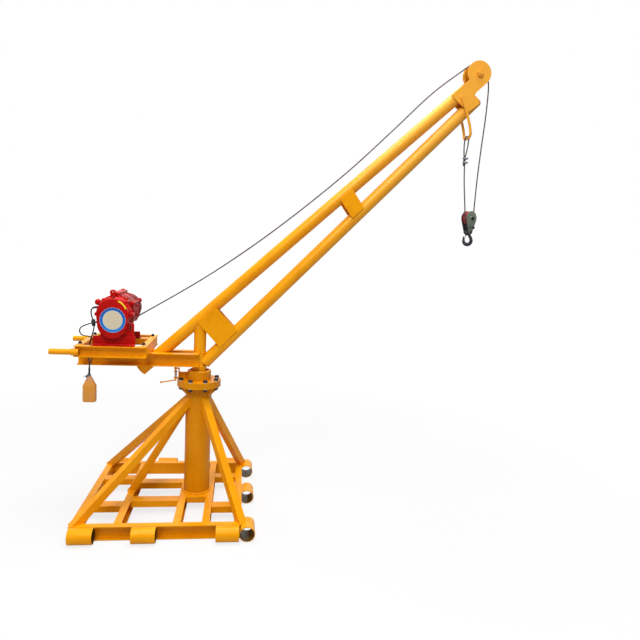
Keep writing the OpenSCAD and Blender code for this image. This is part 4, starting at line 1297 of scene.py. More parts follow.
        # Near-black slats on the fan cover's end: painted shade in its openings.
        shape.paint(palette.shade_black)
        for i in range(-5, 6):
            x = 0.012 * i
            reach = math.sqrt(0.068 ** 2 - x * x)
            self.slab(shape, (x - 0.003, -reach), (x + 0.003, reach),
                      end + 0.0006, end - 0.002, 0.0)
        shape.build(Body.JIB, Slot.WINCH_PAINT, ("winch_motor",))

    def feet(self) -> None:
        """The two angle feet that carry the castings on the tray."""
        shape = Shape("winch_feet").paint(self.palette.winch)
        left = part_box("winch_base")[0].x
        top = self.tray_top
        thick = self.FEET_HIGH
        for front, rear, right, high in ((-0.242, -0.200, left + 0.238, 0.056),
                                         (0.076, 0.120, left + 0.218, 0.044)):
            shape.block((left, front, top), (right, rear, top + thick), 0.0012)
            wall = (rear - thick, rear) if front < 0 else (front, front + thick)
            shape.block((left, wall[0], top), (right, wall[1], top + high), 0.0012)
            inner = wall[0] if front < 0 else wall[1]
            fold = Vector((0.0, -0.0006 if front < 0 else 0.0006, 0.0))
            shape.sweep([Vector((x, inner, top + thick)) + fold
                         for x in (left + 0.001, right - 0.001)],
                        0.0032, 12)
        shape.build(Body.JIB, Slot.WINCH_PAINT, ("winch_base",))

    def drum(self) -> None:
        """The drum with its rope wound on in one layer."""
        palette = self.palette
        shape = Shape("winch_drum").paint(palette.iron)
        front, back = -self.DRUM_FRONT, -self.DRUM_BACK
        flange, core, shaft, stub = 0.098, 0.080, 0.015, 0.0042
        end = [(0.0, -stub), (shaft, -stub), (shaft, 0.0), (flange - 0.002, 0.0), (flange, 0.002),
               (flange, 0.006), (flange - 0.003, 0.009), (core, 0.011)]
        profile = [(r, back + h) for r, h in end] + [(r, front - h) for r, h in reversed(end)]
        shape.lathe(profile, self.facing(0.0), 96)
        shape.paint(palette.rope)
        pitch, lay, wraps, leave = 0.0835, 0.0074, 15, -57.0
        turns = [i / 48 for i in range(48 * wraps + 1)]
        wound = [Vector((self.x, -lay * t, self.z)) + Vector((p[0], 0.0, p[1]))
                 for t in turns for p in [polar(pitch, leave - 360.0 * t)]]
        shape.sweep(wound, 0.0035, 10)
        shape.build(Body.DRUM, Slot.DRUM_IRON, ("drum",))

    def glands(self) -> None:
        """The two cable glands on the casting's left."""
        shape = Shape("winch_glands").paint(self.palette.black)
        for exit_at, reach in ((Cords.pendant_exit, 0.030), (Cords.mains_exit, 0.034)):
            start = Vector(exit_at) + RIGHT * 0.0004
            shape.rod(start, start + RIGHT * 0.006, 0.0072, 0.0088, 24, 0.0008)
            shape.rod(start + RIGHT * 0.006, start + RIGHT * 0.013, 0.0098, sides=6, bevel=0.0008)
            shape.rod(start + RIGHT * 0.013, start + RIGHT * reach, 0.0086, sides=24)
        shape.build(Body.JIB, Slot.BLACK_PLASTIC, ("cable_glands",))

    def build(self) -> None:
        """Builds the whole winch."""
        self.front_casting()
        self.guard()
        self.rear_casting()
        self.feet()
        self.drum()
        self.glands()


# ---------- the head, the ropes and the hook block ----------


@dataclass
class Reeving:
    """The wire rope from the drum over the head, down to the block and back to the anchor."""

    HEAD_X = 1.676
    HEAD_Z = 2.8

    palette: Palette
    radius: float = 0.0042
    pitch: float = 0.050

    def laid(self, name: str, route: list[Vector], rides: bool = True) -> bpy.types.Object:
        """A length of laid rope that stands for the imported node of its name."""
        shape = Shape(name).paint(self.palette.rope)
        shape.strands(route, self.radius, self.pitch)
        return shape.build(Body.JIB, Slot.WIRE_ROPE, (name,), rides=rides)

    def run(self) -> None:
        """The rope from the drum to the head sheave and over it."""
        pitch, leave = 0.084, math.radians(33.0)
        x, _, z = centre_of("drum")
        knots = [(x + pitch * math.sin(leave), 0, z - pitch * math.cos(leave)), (-0.035, 0, 1.414),
                 (0.260, 0, 1.624), (0.556, 0, 1.861), (0.877, 0, 2.145), (1.149, 0, 2.415),
                 (1.396, 0, 2.667), (1.629, 0, 2.856)]
        over = [(self.HEAD_X + p[0], 0.0, self.HEAD_Z + p[1]) for p in arc(0.072, 128, 0, 24)]
        self.laid("rope_run", smooth_route(knots, 12) + [Vector(p) for p in over[1:]])

    def falls(self) -> None:
        """The live and dead falls, down to the block."""
        live = [(1.748, 0.0, 2.800), (1.7545, 0.0, 2.772), (1.7610, 0.001, 2.705),
                (1.7585, 0.005, 2.549), (1.7475, 0.010, 2.356), (1.7390, 0.0145, 2.168),
                (1.7355, 0.0185, 1.985), (1.7354, 0.0191, 1.908)]
        dead = [(1.6410, 0.0, 2.234), (1.6420, -0.003, 2.190), (1.6450, -0.007, 2.128),
                (1.6520, -0.013, 2.040), (1.6588, -0.018, 1.965), (1.6606, -0.0191, 1.908)]
        for name, knots in (("live_fall", live), ("dead_fall", dead)):
            made = self.laid(name, smooth_route(knots, 12), rides=False)
            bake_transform(made)

    def anchor(self) -> None:
        """The rope's end: an eye round the anchor bar, two wire clips and a seized tail."""
        palette = self.palette
        shape = Shape("rope_anchor").paint(palette.rope)
        top = Vector((1.641, 0.0, 2.234))
        bar = Vector((1.643, 0.0, 2.4075))
        eye = 0.0130
        up = ((0, 0), (0, 0.045), (0.001, 0.064), (0.006, 0.090), (0.0115, 0.125), (0.0135, 0.155))
        down = ((-0.0115, 0.155), (-0.0125, 0.125), (-0.0105, 0.090),
                (-0.008, 0.064), (-0.008, 0.045), (-0.008, 0.006))
        rise, fall = ([top + Vector((x, 0, z)) for x, z in side] for side in (up, down))
        crown = [bar + Vector((p[0], 0, p[1])) for p in arc(eye, 10, 170, 6)]
        shape.strands(smooth_route(rise + crown + fall, 6), self.radius, 0.040)
        shape.paint(palette.black)
        tail = top + Vector((-0.008, 0, 0.006))
        shape.rod(tail - UP * 0.004, tail + UP * 0.010, 0.0043, sides=20, bevel=0.0008)
        for high in (0.0235, 0.0495):
            self.clip(shape, top + Vector((-0.004, 0.0, high)))
        shape.build(Body.JIB, Slot.WIRE_ROPE, ("rope_anchor",))

    def clip(self, shape: Shape, at: Vector) -> None:
        """Adds a wire clip: a grooved saddle in front and a U-bolt with two nuts."""
        palette = self.palette
        out = Vector((0.82, -0.57, 0.0)).normalized()
        side = UP.cross(out)
        shape.paint(palette.clip)
        place = placed(at + out * 0.0072, out, side)
        shape.block((-0.0145, -0.0065, -0.003), (0.0145, 0.0065, 0.005), 0.0018, place)
        shape.block((-0.0050, -0.0065, -0.0062), (0.0050, 0.0065, -0.002), 0.001, place)
        legs = (-0.0092, 0.0092)
        bend = [at - out * 0.0015 + side * p[0] - out * p[1] for p in arc(0.0092, 0, 180, 12)]
        bow = [at + out * 0.025 + side * legs[1]] + bend + [at + out * 0.025 + side * legs[0]]
        shape.sweep(bow, 0.0027, 12)
        for leg in legs:
            seat = at + out * 0.0122 + side * leg
            shape.rod(seat, seat + out * 0.006, 0.0060, sides=6, bevel=0.0005)

    def anchor_bar(self) -> None:
        """The bent bar under the head that carries the rope's end."""
        shape = Shape("anchor_bar").paint(self.palette.head)
        radius, corner, side = 0.0085, 0.028, 0.0546
        top, low = Vector((1.571, 0.0, 2.645)), Vector((1.643, 0.0, 2.4355))
        curved = smooth_route([top, (1.601, 0.0, 2.574), (1.6215, 0.0, 2.516),
                               (1.6345, 0.0, 2.474), low], 10)
        bend = [Vector((low.x, side - corner + p[0], low.z - p[1])) for p in arc(corner, 0, 90, 10)]
        half = [Vector((p.x, side, p.z)) for p in curved] + bend[1:]
        shape.sweep([Vector((p.x, -p.y, p.z)) for p in half] + half[::-1], radius, 20)
        for y in (-side, side):
            edge = math.copysign(0.0035, y)
            for lean in (-1, 1):
                seam = [Vector((p.x + lean * 0.0065, y - edge, p.z)) for p in curved[:9]]
                shape.bead(seam, 0.0030, seed=7 + lean)
        shape.build(Body.JIB, Slot.CRANE_PAINT, ("anchor_bar",))

    def head_sheave(self) -> None:
        """The sheave between the head's cheeks, in a deeper yellow that is painted shade."""
        shape = Shape("head_sheave").paint(self.palette.groove)
        x, _, z = centre_of("head_sheave")
        place = facing((x, 0.0, z))
        shape.lathe(sheave_profile(0.0125, 0.072, 0.024), place, 96)
        shape.build(Body.HEAD_SHEAVE, Slot.CRANE_PAINT, ("head_sheave",))

    def build(self) -> None:
        """Builds the ropes, the anchor and the head's turning parts."""
        self.run()
        self.falls()
        self.anchor()
        self.anchor_bar()
        self.head_sheave()


def sheave_profile(bore: float, pitch: float, width: float) -> Outline:
    """The closed profile of a sheave with a rope groove, a rim, a thin web and a hub."""
    half, rim = width / 2, pitch + 0.003
    hub, web = bore + 0.010, 0.005
    floor_r = pitch - 0.0049
    groove = [(rim - 0.0008, 0.0072), (floor_r + 0.0018, 0.0034), (floor_r, 0.0),
              (floor_r + 0.0018, -0.0034), (rim - 0.0008, -0.0072)]
    upper = [(bore, half), (hub, half), (hub + 0.002, web), (floor_r - 0.014, web),
             (floor_r - 0.010, half - 0.002), (rim - 0.002, half), (rim, half - 0.0015)]
    lower = [(r, -h) for r, h in reversed(upper)]
    return upper + groove + lower


@dataclass
class HookBlock:
    """The two-fall block and its forged hook."""

    palette: Palette
    x: float = 1.698
    z: float = 1.908
    turn: float = 27.0
    hook_turn: float = -20.0
    hook_z: float = 1.767
    cheek_in: float = 0.019
    cheek_t: float = 0.006
    pitch: float = 0.042

    def own(self, z: float, degrees: float) -> Matrix:
        """A place on the block's vertical axis, turned about it."""
        return Matrix.Translation((self.x, 0.0, z)) @ Matrix.Rotation(math.radians(degrees), 4, "Z")

    def frame_parts(self) -> None:
        """The cheeks, pins and cross piece."""
        palette, own = self.palette, self.own(self.z, self.turn)
        outside = self.cheek_in + self.cheek_t
        shape = Shape("block_frame")
        outline = pear(0.0460, 0.0140, 0.088, 30)
        # The back cheek wears the black drum iron: painted shade on the far cheek.
        for rear, finish in ((-self.cheek_in, palette.block_green), (outside, palette.iron)):
            shape.paint(finish)
            shape.plate(outline, self.cheek_t, own @ facing((0, rear, 0)), 0.0016, 3)
        forward = own.to_3x3() @ -BACK
        shape.paint(palette.zinc)
        shape.rod(own @ Vector((0, outside + 0.004, 0)),
                  own @ Vector((0, -outside - 0.002, 0)), 0.009)
        bolt(shape, own @ Vector((0, -outside, 0)), forward, 0.022, 0.009, palette, nut=True)
        bolt(shape, own @ Vector((0, outside, 0)), -forward, 0.022, 0.008, palette)
        for x, z, across in ((0.019, -0.060, 0.015), (-0.012, -0.058, 0.011), (0.0, -0.090, 0.016)):
            bolt(shape, own @ Vector((x, -outside, z)), forward, across, 0.006, palette,
                 washer=False, nut=x > 0)
            bolt(shape, own @ Vector((x, outside, z)), -forward, across, 0.005,
                 palette, washer=False)
            shape.rod(own @ Vector((x, outside, z)), own @ Vector((x, -outside, z)),
                      across * 0.33, sides=20)
        shape.paint(palette.iron)
        shape.block((-0.016, -self.cheek_in, -0.104), (0.016, self.cheek_in, -0.080), 0.003, own)
        shape.build(Body.BLOCK, Slot.BLOCK_PAINT, ("block_frame",))

    def sheave(self) -> None:
        """The red sheave in the block."""
        shape = Shape("block_sheave").paint(self.palette.sheave_red)
        place = self.own(self.z, self.turn) @ facing((0, 0, 0))
        shape.lathe(sheave_profile(0.009, self.pitch, 0.028), place, 72)
        shape.build(Body.BLOCK_SHEAVE, Slot.SHEAVE_PAINT, ("block_sheave",))

    def rope(self) -> None:
        """The rope's half turn under the sheave."""
        own = self.own(self.z, self.turn)
        loop = [own @ Vector((p[0], 0.0, p[1])) for p in arc(self.pitch, 180, 360, 28)]
        shape = Shape("block_rope").paint(self.palette.rope)
        shape.strands(loop, 0.0042, 0.044)
        shape.build(Body.BLOCK, Slot.WIRE_ROPE, ("block_rope",))

    def hook(self) -> None:
        """The forged hook with its nut in the cross piece."""
        palette = self.palette
        shape = Shape("hook").paint(palette.hook)
        own = self.own(self.hook_z, self.hook_turn)
        knots = [(0.000, 0.086, 8.0), (0.000, 0.060, 8.0), (0.002, 0.044, 8.4), (0.010, 0.031, 9.0),
                 (0.019, 0.017, 9.8), (0.0245, 0.000, 10.6), (0.0225, -0.013, 11.4),
                 (0.0135, -0.0240, 11.9), (0.000, -0.0285, 11.9), (-0.0135, -0.0240, 11.2),
                 (-0.0215, -0.0130, 9.8), (-0.0235, -0.001, 8.2), (-0.0235, 0.010, 6.4),
                 (-0.0245, 0.0205, 4.2)]
        route = smooth_route([own @ Vector((x, 0.0, z)) for x, z, _ in knots], 8)
        sizes = smooth_route([(r, 0.0, 0.0) for _, _, r in knots], 8)
        shape.sweep(route, 0.010, 24, [s.x / 10.0 for s in sizes])
        shape.ball(own @ Vector((-0.0245, 0.0, 0.0205)), 0.0042)
        collar = placed((self.x, 0.0, self.z - 0.106), UP, RIGHT)
        shape.lathe([(0.0, 0.0), (0.0125, 0.0), (0.0135, 0.001), (0.0135, 0.008),
                     (0.0125, 0.009), (0.0, 0.009)],
                    collar, 40)
        for y in (-0.0058, 0.0058):
            shape.block((-0.0160, y - 0.0012, 0.0300), (-0.0020, y + 0.0012, 0.0400), 0.0008, own)
        pivot = [own @ Vector((-0.012, y, 0.0360)) for y in (-0.0085, 0.0085)]
        shape.rod(*pivot, 0.0017, sides=16)
        shape.build(Body.HOOK, Slot.HOOK_STEEL, ("hook",))

    def latch(self) -> None:
        """The pressed spring latch that closes the throat."""
        shape = Shape("hook_latch").paint(self.palette.zinc)
        own = self.own(self.hook_z, self.hook_turn)
        start, end = Vector((-0.012, 0.0, 0.0360)), Vector((-0.0160, 0.0, 0.0060))
        down = (end - start).normalized()
        across = own.to_3x3() @ BACK
        place = placed(own @ start, own.to_3x3() @ down, across)
        length = (end - start).length
        shape.block((-0.0045, -0.0028, -0.003), (0.0045, 0.0004, length), 0.0007, place)
        for side in (-0.0045, 0.0036):
            shape.block((side, -0.0030, -0.0035),
                        (side + 0.0009, 0.0042, length * 0.55), 0.0004, place)
        shape.build(Body.LATCH, Slot.ZINC, ("hook_latch",))

    def build(self) -> None:
        """Builds the block and the hook."""
        self.frame_parts()
        self.sheave()
        self.rope()
        self.hook()
        self.latch()


# ---------- bolts, the slewing lock and the welds ----------


@dataclass
class Fittings:
    """The bolts of the slewing head and the tray, and the slewing lock's spring."""

    palette: Palette
    bolt_circle: float = 0.117
    bolt_count: int = 8
    bolt_hex: float = 0.027

    def flange_bolts(self) -> None:
        """The hexagon bolts that hold the bearing cap on the post's flange."""
        shape = Shape("flange_bolts")
        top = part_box("flange_bolts")[1].z - 0.014
        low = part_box("post_flange")[1].z - 0.022
        for i in range(self.bolt_count):
            x, y = polar(self.bolt_circle, (i + 0.5) * 360.0 / self.bolt_count)
            bolt(shape, (x, y, top), UP, self.bolt_hex, 0.0125, self.palette)
            bolt(shape, (x, y, low), -UP, self.bolt_hex, 0.010, self.palette, nut=True)
        shape.build(Body.BASE, Slot.BLACK_BOLTS, ("flange_bolts",))

    def tray_bolts(self) -> None:
        """The four bolts of the winch tray."""
        shape = Shape("tray_bolts")
        low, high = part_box("tray_bolts")
        reach = 0.019 / math.cos(math.radians(30)) / 2
        for x in (low.x + reach, high.x - reach):
            for y in (low.y + 0.0095, high.y - 0.0095):
                bolt(shape, (x, y, low.z), UP, 0.019, 0.009, self.palette, nut=True)
        shape.build(Body.JIB, Slot.BLACK_BOLTS, ("tray_bolts",))

    def lock_spring(self) -> None:
        """The coil spring on the slewing lock."""
        low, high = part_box("lock_spring")
        x, y, _ = centre_of("lock_spring")
        wire, coil, turns, per_turn = 0.0011, 0.008, 6.5, 20
        count = int(turns * per_turn)
        rise = high.z - low.z - 2 * wire
        route = [Vector((x, y, low.z + wire + rise * i / count))
                 + Vector((*polar(coil, 360.0 * i / per_turn), 0.0)) for i in range(count + 1)]
        shape = Shape("lock_spring").paint(self.palette.zinc)
        shape.sweep(route, wire, 8)
        made = shape.build(Body.BASE, Slot.ZINC, ("lock_spring",), rides=False)
        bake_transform(made)

    def build(self) -> None:
        """Builds the bolts and the spring."""
        self.flange_bolts()
        self.tray_bolts()
        self.lock_spring()


def compass(turn: float) -> tuple[Vector, Vector]:
    """The directions away from the slewing axis and round it, at an angle in radians."""
    x, y = math.cos(turn), math.sin(turn)
    return Vector((x, y, 0.0)), Vector((-y, x, 0.0))


@dataclass
class Welds:
    """The painted weld beads at the crane's joints."""

    palette: Palette
    post_r: float = 0.080

    def level_ring(self, shape: Shape, radius: float, z: float, size: float, seed: int) -> None:
        """Adds a bead round the slewing axis."""
        route = [Vector((p[0], p[1], z)) for p in arc(radius, 0, 360, 60)]
        shape.bead(route, size, closed=True, seed=seed)

    def brace_foot(self, shape: Shape, name: str, seed: int) -> None:
        """Adds a bead round a brace's foot on the base."""
        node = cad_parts[name]
        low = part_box(name)[0].z
        feet = [v.co for v in node.data.vertices if v.co.z < low + 0.0005]
        middle = sum(feet, Vector()) / len(feet)
        turn = math.atan2(middle.y, middle.x)
        out, side = compass(turn)
        far = max((v - middle).dot(out) for v in feet)
        near = min((v - middle).dot(out) for v in feet)
        wide = max((v - middle).dot(side) for v in feet)
        corners = [(far, wide), (far, -wide), (near, -wide), (near, wide), (far, wide)]
        route = [middle + out * a + side * b for a, b in corners]
        route = [Vector((p.x, p.y, low + 0.0005)) for p in route]
        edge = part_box("base_front_beam")[1].x - 0.012
        keep = [p for p in evenly(route, 0.004) if p.x < edge]
        shape.bead(keep, 0.0036, seed=seed)

    def base(self) -> None:
        """The beads of the base, the post and the braces."""
        shape = Shape("base_welds").paint(self.palette.weld)
        low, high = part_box("post")
        self.level_ring(shape, self.post_r + 0.006, low.z + 0.004, 0.0045, 3)
        self.level_ring(shape, self.post_r + 0.0015, high.z - 0.002, 0.0040, 5)
        braces = ("front_left", "back_left", "front_right", "back_right", "middle")
        for i, name in enumerate(braces):
            self.brace_foot(shape, "brace_" + name, 11 + i)
        for i in range(8):
            turn = math.radians(45 * i)
            out, side = compass(turn)
            for lean in (-1, 1):
                foot = out * (self.post_r + 0.001) + side * 0.005 * lean
                rim = out * 0.112 + side * 0.005 * lean
                corner = high.z - 0.003
                route = [foot + UP * (high.z - 0.056), foot + UP * corner, rim + UP * corner]
                shape.bead(route, 0.0024, seed=40 + i)
        self.beams(shape)
        self.sleeves(shape)
        shape.build(Body.BASE, Slot.CRANE_PAINT)

    def beams(self, shape: Shape) -> None:
        """Adds the beads where the beams of the base meet, on top and down the webs."""
        low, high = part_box("base_front_beam")
        inner = 0.5 * (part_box("base_back_beam")[1].y - low.y) - BEAM_FLANGE
        top, left = high.z, low.x
        for x in (left + 0.001, -0.4215, -0.0975, 0.0655, 0.247):
            for side in (-1, 1):
                shape.seam((x + 0.002, side * inner, top),
                           (x + BEAM_FLANGE - 0.002, side * inner, top), 0.0022,
                           int(1000 * abs(x)) + side)
        for x0, x1, half in ((-0.612, -0.4215, 0.203), (-0.3785, -0.0975, 0.138),
                             (0.1085, 0.247, 0.228)):
            for x in (x0, x1):
                for side in (-1, 1):
                    shape.seam((x, side * half - 0.034, top), (x, side * half + 0.034, top), 0.0020,
                               int(3000 * abs(x)) + side)

    def sleeves(self, shape: Shape) -> None:
        """Adds the beads between the sleeves and the flange tips."""
        heights = (SLEEVE_RADIUS + 0.0295, SLEEVE_RADIUS - 0.0295)
        in_from, half = 0.0335, 0.06
        for side in (-1.0, 1.0):
            y = side * SLEEVE_ROW_Y - side * in_from
            for x in (-0.577, -0.245, 0.21284):
                for z in heights:
                    shape.seam((x - half, y, z), (x + half, y, z), 0.0030, int(x * 100) + 200)
        x = SLEEVE_END_X - in_from
        for y in (-0.482, 0.015, 0.445):
            for z in heights:
                shape.seam((x, y - half, z), (x, y + half, z), 0.0030, int(y * 100) + 300)

    def jib(self) -> None:
        """The beads of the jib: the mast's foot, the rails, the plates and the tray."""
        shape = Shape("jib_welds").paint(self.palette.weld)
        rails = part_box("rail_front")
        tube = 0.038
        for z in (rails[1].z, rails[0].z):
            for side in (-1, 1):
                shape.seam((-tube, side * tube, z), (0.0, side * tube, z), 0.0028, 61 + side)
        route = [Vector((p[0], p[1], rails[1].z + 0.001)) for p in arc(tube + 0.001, 0, 360, 48)]
        shape.bead(route, 0.0032, closed=True, seed=65)
        self.tray(shape)
        self.plates(shape)
        shape.build(Body.JIB, Slot.CRANE_PAINT)

    def tray(self, shape: Shape) -> None:
        """Adds the beads of the tray's corners and of its seat on the rails."""
        low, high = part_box("tray_frame")
        web = 0.036
        for x in (low.x + web, high.x - web):
            for side in (-1, 1):
                y = side * (high.y - web)
                shape.seam((x - 0.018, y, high.z), (x + 0.018, y, high.z), 0.0020, 71)
        for x in (low.x + web, high.x):
            for side in (-1, 1):
                shape.seam((x, side * 0.040, low.z), (x, side * 0.079, low.z), 0.0032, 81)
        for side in (-1, 1):
            y = side * 0.2402
            at = placed((low.x - 0.0125, y, low.z + 0.028), RIGHT, UP)
            ring_route = [at @ Vector((p[0], p[1], 0.0)) for p in arc(0.0185, 0, 360, 32)]
            shape.bead(ring_route, 0.0024, closed=True, seed=91)

    def plates(self, shape: Shape) -> None:
        """Adds the beads along the jib's plates, on both sides."""
        upper = (Vector((-0.357, 0.0, 0.861)), Vector((1.600, 0.0, 2.695)))
        lower = (Vector((0.029, 0.0, 0.915)), Vector((1.693, 0.0, 2.672)))
        runs = ((upper, -0.003, ((0.463, 0.611), (1.632, 1.732))),
                (lower, 0.003, ((0.142, 0.293), (1.300, 1.400))))
        for (foot, head), across, spans in runs:
            along = (head - foot).normalized()
            up = Vector((-along.z, 0.0, along.x))
            for start, end in spans:
                for y in (-0.0405, 0.0405):
                    ends = (foot + along * s + up * across + BACK * y
                            for s in (start + 0.006, end - 0.006))
                    shape.seam(*ends, 0.0030, 101)

    def build(self) -> None:
        """Builds all the beads."""
        self.base()
        self.jib()


# ---------- the push-button station, its film bag and the plug ----------


@dataclass
class Pendant:
    """The push-button station in its clear bag, with the mains plug beside it."""

    palette: Palette
    x: float = -0.634
    y: float = -0.120
    low: float = 0.686
    shoulder: float = 0.786
    neck: float = 0.840
    half_wide: float = 0.0375
    half_deep: float = 0.022
    plug_top: tuple[float, float, float] = (-0.645, -0.092, 0.853)

    def station(self) -> None:
        """The moulded shell with its two guarded buttons on the far side."""
        palette = self.palette
        shape = Shape("pendant_station").paint(palette.orange)
        levels = ((self.low, 0.86), (self.low + 0.0025, 0.97), (self.low + 0.006, 1.0),
                  (self.shoulder - 0.003, 1.0), (self.shoulder + 0.002, 0.965),
                  (self.shoulder + 0.016, 0.78), (self.shoulder + 0.032, 0.57),
                  (self.neck - 0.006, 0.34), (self.neck, 0.25))
        rings = [self.rounded(z, self.half_wide * s, self.half_deep * s, 5.0, 48)
                 for z, s in levels]
        shape.loft(rings, closed=True)
        for side in (-1, 1):
            for z in (0.706, 0.716, 0.726, 0.736, 0.746):
                x = self.x + side * (self.half_wide - 0.0006)
                shape.block((x - 0.0014, self.y - 0.013, z - 0.0022),
                            (x + 0.0014, self.y + 0.013, z + 0.0022), 0.0010)
        back = self.y + self.half_deep
        for z, finish in ((0.757, palette.green), (0.719, palette.red)):
            place = placed((self.x, back - 0.001, z), BACK, RIGHT)
            shape.paint(palette.black).lathe(ring(0.0115, 0.0150, 0.0, 0.0055, 0.0012), place, 40)
            shape.paint(finish).lathe([(0.0, 0.0), (0.0110, 0.0), (0.0110, 0.0030),
                                       (0.0096, 0.0042), (0.0, 0.0046)],
                                      place, 40)
        shape.paint(palette.zinc)
        for x in (-0.029, 0.029):
            for z in (0.696, 0.777):
                seat = Vector((self.x + x, back - 0.0005, z))
                shape.rod(seat, seat + BACK * 0.0016, 0.0027, sides=16, bevel=0.0005)
        shape.build(Body.JIB, Slot.PENDANT_PLASTIC, ("pendant",))

    def rounded(self, z: float, wide: float, deep: float, power: float, count: int) -> list[Vector]:
        """One level outline between a circle and a rectangle."""
        points = []
        for i in range(count):
            turn = FULL_TURN * i / count
            c, s = math.cos(turn), math.sin(turn)
            reach = (abs(c) ** power + abs(s) ** power) ** (-1.0 / power)
            points.append(Vector((self.x + wide * reach * c, self.y + deep * reach * s, z)))
        return points

    def film(self) -> None:
        """The clear film sleeve over the station, gathered and tied at its neck."""
        shape = Shape("film_bag").paint(self.palette.film)
        draw = random.Random(11)
        slow, quick, pleats = (draw.uniform(0.0, FULL_TURN) for _ in range(3))
        levels = ((0.852, 0.0120, 0.0100, 2.0), (0.8495, 0.0095, 0.0088, 2.0),
                  (0.8470, 0.0078, 0.0074, 2.0), (0.8440, 0.0066, 0.0066, 2.0),
                  (0.8400, 0.0110, 0.0080, 2.2), (0.832, 0.0170, 0.0100, 2.6),
                  (0.820, 0.0240, 0.0140, 3.0), (0.808, 0.0310, 0.0185, 3.6),
                  (0.797, 0.0365, 0.0220, 4.2), (0.786, 0.0400, 0.0240, 5.0),
                  (0.770, 0.0405, 0.0245, 5.0), (0.750, 0.0400, 0.0240, 5.0),
                  (0.730, 0.0405, 0.0245, 5.0), (0.710, 0.0400, 0.0245, 5.0),
                  (0.692, 0.0405, 0.0250, 5.0), (0.682, 0.0410, 0.0250, 4.6),
                  (0.676, 0.0400, 0.0235, 4.2))
        count = 96
        rings = []
        for z, wide, deep, power in levels:
            pleat = min(1.0, max(0.0, (z - 0.786) / 0.05))
            outline = self.rounded(z, wide, deep, power, count)
            for i, point in enumerate(outline):
                turn = FULL_TURN * i / count
                out = Vector((point.x - self.x, point.y - self.y, 0.0)).normalized()
                swell = (0.0011 * math.sin(3 * turn + 95 * z + slow)
                         + 0.0008 * math.sin(7 * turn - 160 * z + quick))
                fold = 0.0012 * pleat * math.sin(12 * turn + pleats + 30 * z)
                point += out * (swell * (1.0 - 0.8 * pleat) + fold)
            rings.append(outline)
        shape.loft(rings[::-1], closed=False)
        made = shape.build(Body.JIB, Slot.PENDANT_PLASTIC)
        smooth = made.modifiers.new("smooth", "SUBSURF")
        smooth.levels = smooth.render_levels = 1
        tie = Shape("bag_tie").paint(self.palette.clip)
        for high in (0.8430, 0.8452):
            loop = [Vector((self.x + p[0], self.y + p[1], high))
                    for p in arc(0.0076, 0, 360, 32)][:-1]
            tie.sweep(loop, 0.0009, 8, closed=True)
        tie.block((self.x - 0.016, self.y - 0.009, 0.8425),
                  (self.x - 0.006, self.y - 0.0076, 0.8447), 0.0004)
        tied = tie.build(Body.JIB, Slot.ZINC)

    def plug(self) -> bpy.types.Object:
        """The mains plug with its two flat prongs and its moulded grip."""
        palette = self.palette
        shape = Shape("mains_plug_top").paint(palette.black)
        top = Vector(self.plug_top)
        barrel = [(0.0, 0.0), (0.0100, 0.0), (0.0128, 0.0018), (0.0130, 0.0050),
                  (0.0121, 0.0062), (0.0130, 0.0074), (0.0130, 0.0108), (0.0121, 0.0120),
                  (0.0130, 0.0132), (0.0129, 0.0170), (0.0112, 0.0205), (0.0078, 0.0235),
                  (0.0062, 0.0262), (0.0068, 0.0270), (0.0060, 0.0285),
                  (0.0056, 0.0300), (0.0, 0.0300)]
        shape.lathe(barrel, placed(top - UP * 0.030, UP, RIGHT), 48)
        shape.block((top.x - 0.0155, top.y - 0.0105, top.z - 0.0285),
                    (top.x - 0.004, top.y + 0.0105, top.z - 0.0120), 0.003)
        shape.paint(palette.zinc)
        for y in (-0.006, 0.006):
            shape.block((top.x - 0.0300, top.y + y - 0.0011, top.z - 0.0235),
                        (top.x - 0.0140, top.y + y + 0.0011, top.z - 0.0172), 0.0006)
        return shape.build(Body.JIB, Slot.BLACK_PLASTIC, ("mains_plug",))

    def build(self) -> bpy.types.Object:
        """Builds the station, its bag and the plug, and returns the plug."""
        self.station()
        self.film()
        return self.plug()


# ---------- the jib's lower tube ----------


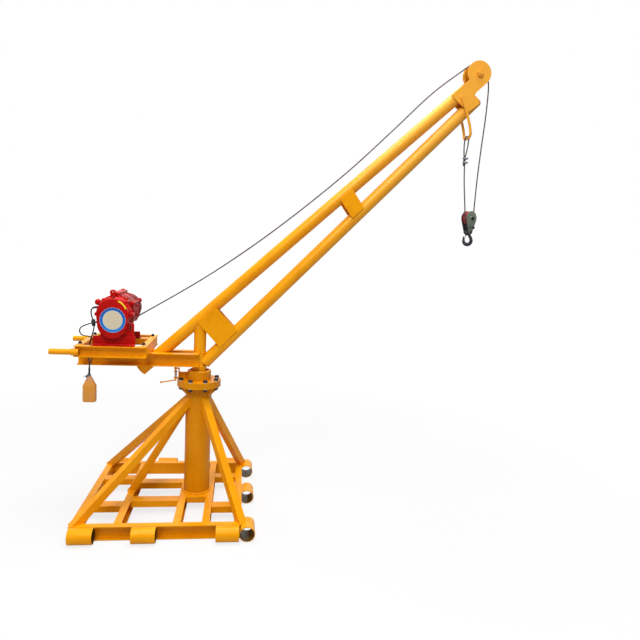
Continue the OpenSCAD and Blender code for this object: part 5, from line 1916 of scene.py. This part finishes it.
@dataclass
class LowerTube:
    """The jib's lower tube, open at both ends."""

    palette: Palette
    foot: tuple[float, float, float] = (0.029, 0.0, 0.915)
    head: tuple[float, float, float] = (1.6845, 0.0, 2.6480)
    radius: float = 0.0390
    wall: float = 0.0040

    def build(self) -> None:
        """Builds the tube."""
        shape = Shape("lower_tube").paint(self.palette.tube)
        foot, head = Vector(self.foot), Vector(self.head)
        length = (head - foot).length
        inner = self.radius - self.wall
        profile = [(inner, 0.0), (self.radius, 0.0), (self.radius, length - 0.001),
                   (self.radius - 0.001, length), (inner, length)]
        shape.lathe(profile, placed(foot, head - foot, RIGHT), 96)
        shape.build(Body.JIB, Slot.CRANE_PAINT, ("lower_jib_tube",))


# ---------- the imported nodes' finishes ----------


def dress(palette: Palette) -> None:
    """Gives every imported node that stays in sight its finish."""
    runs = {
        palette.paint_x: ("base_front_beam", "base_back_beam", "base_cross_members", "rail_front",
                          "rail_back", "tray_bearer", "tray_frame"),
        palette.paint_y: ("base_left_beam", "base_right_beam", "base_long_beams"),
        palette.paint_z: ("brace_front_left", "brace_back_left", "brace_middle",
                          "brace_front_right", "brace_back_right"),
        palette.paint: ("lock_bracket", "lock_pin", "slewing_shaft", "foot_gussets", "mid_plates"),
        palette.row_sleeves: ("front_sleeves", "back_sleeves"),
        palette.end_sleeves: ("side_sleeves",),
        # The post, its flange and the bearing cap wear the deeper yellow: painted shade.
        palette.post: ("post",),
        palette.deep: ("post_flange", "bearing_cap"),
        # The tubes and the head's plates pale towards the head: painted light.
        palette.tube: ("upper_jib_tube", "push_handles", "mast_tube"),
        palette.head: ("head_plates", "head_pin"),
    }
    for finish, names in runs.items():
        for name in names:
            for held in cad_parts[name].material_slots:
                held.material = finish
            LOG.info("%s wears %s", name, finish.name)


def main() -> None:
    """Builds the whole scene in order."""
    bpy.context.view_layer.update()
    palette = Palette()
    Studio().build()
    Cords().build(palette, Pendant(palette).build())
    LowerTube(palette).build()
    Winch(palette).build()
    Reeving(palette).build()
    HookBlock(palette).build()
    Fittings(palette).build()
    Welds(palette).build()
    dress(palette)


if __name__ == "__main__":
    main()
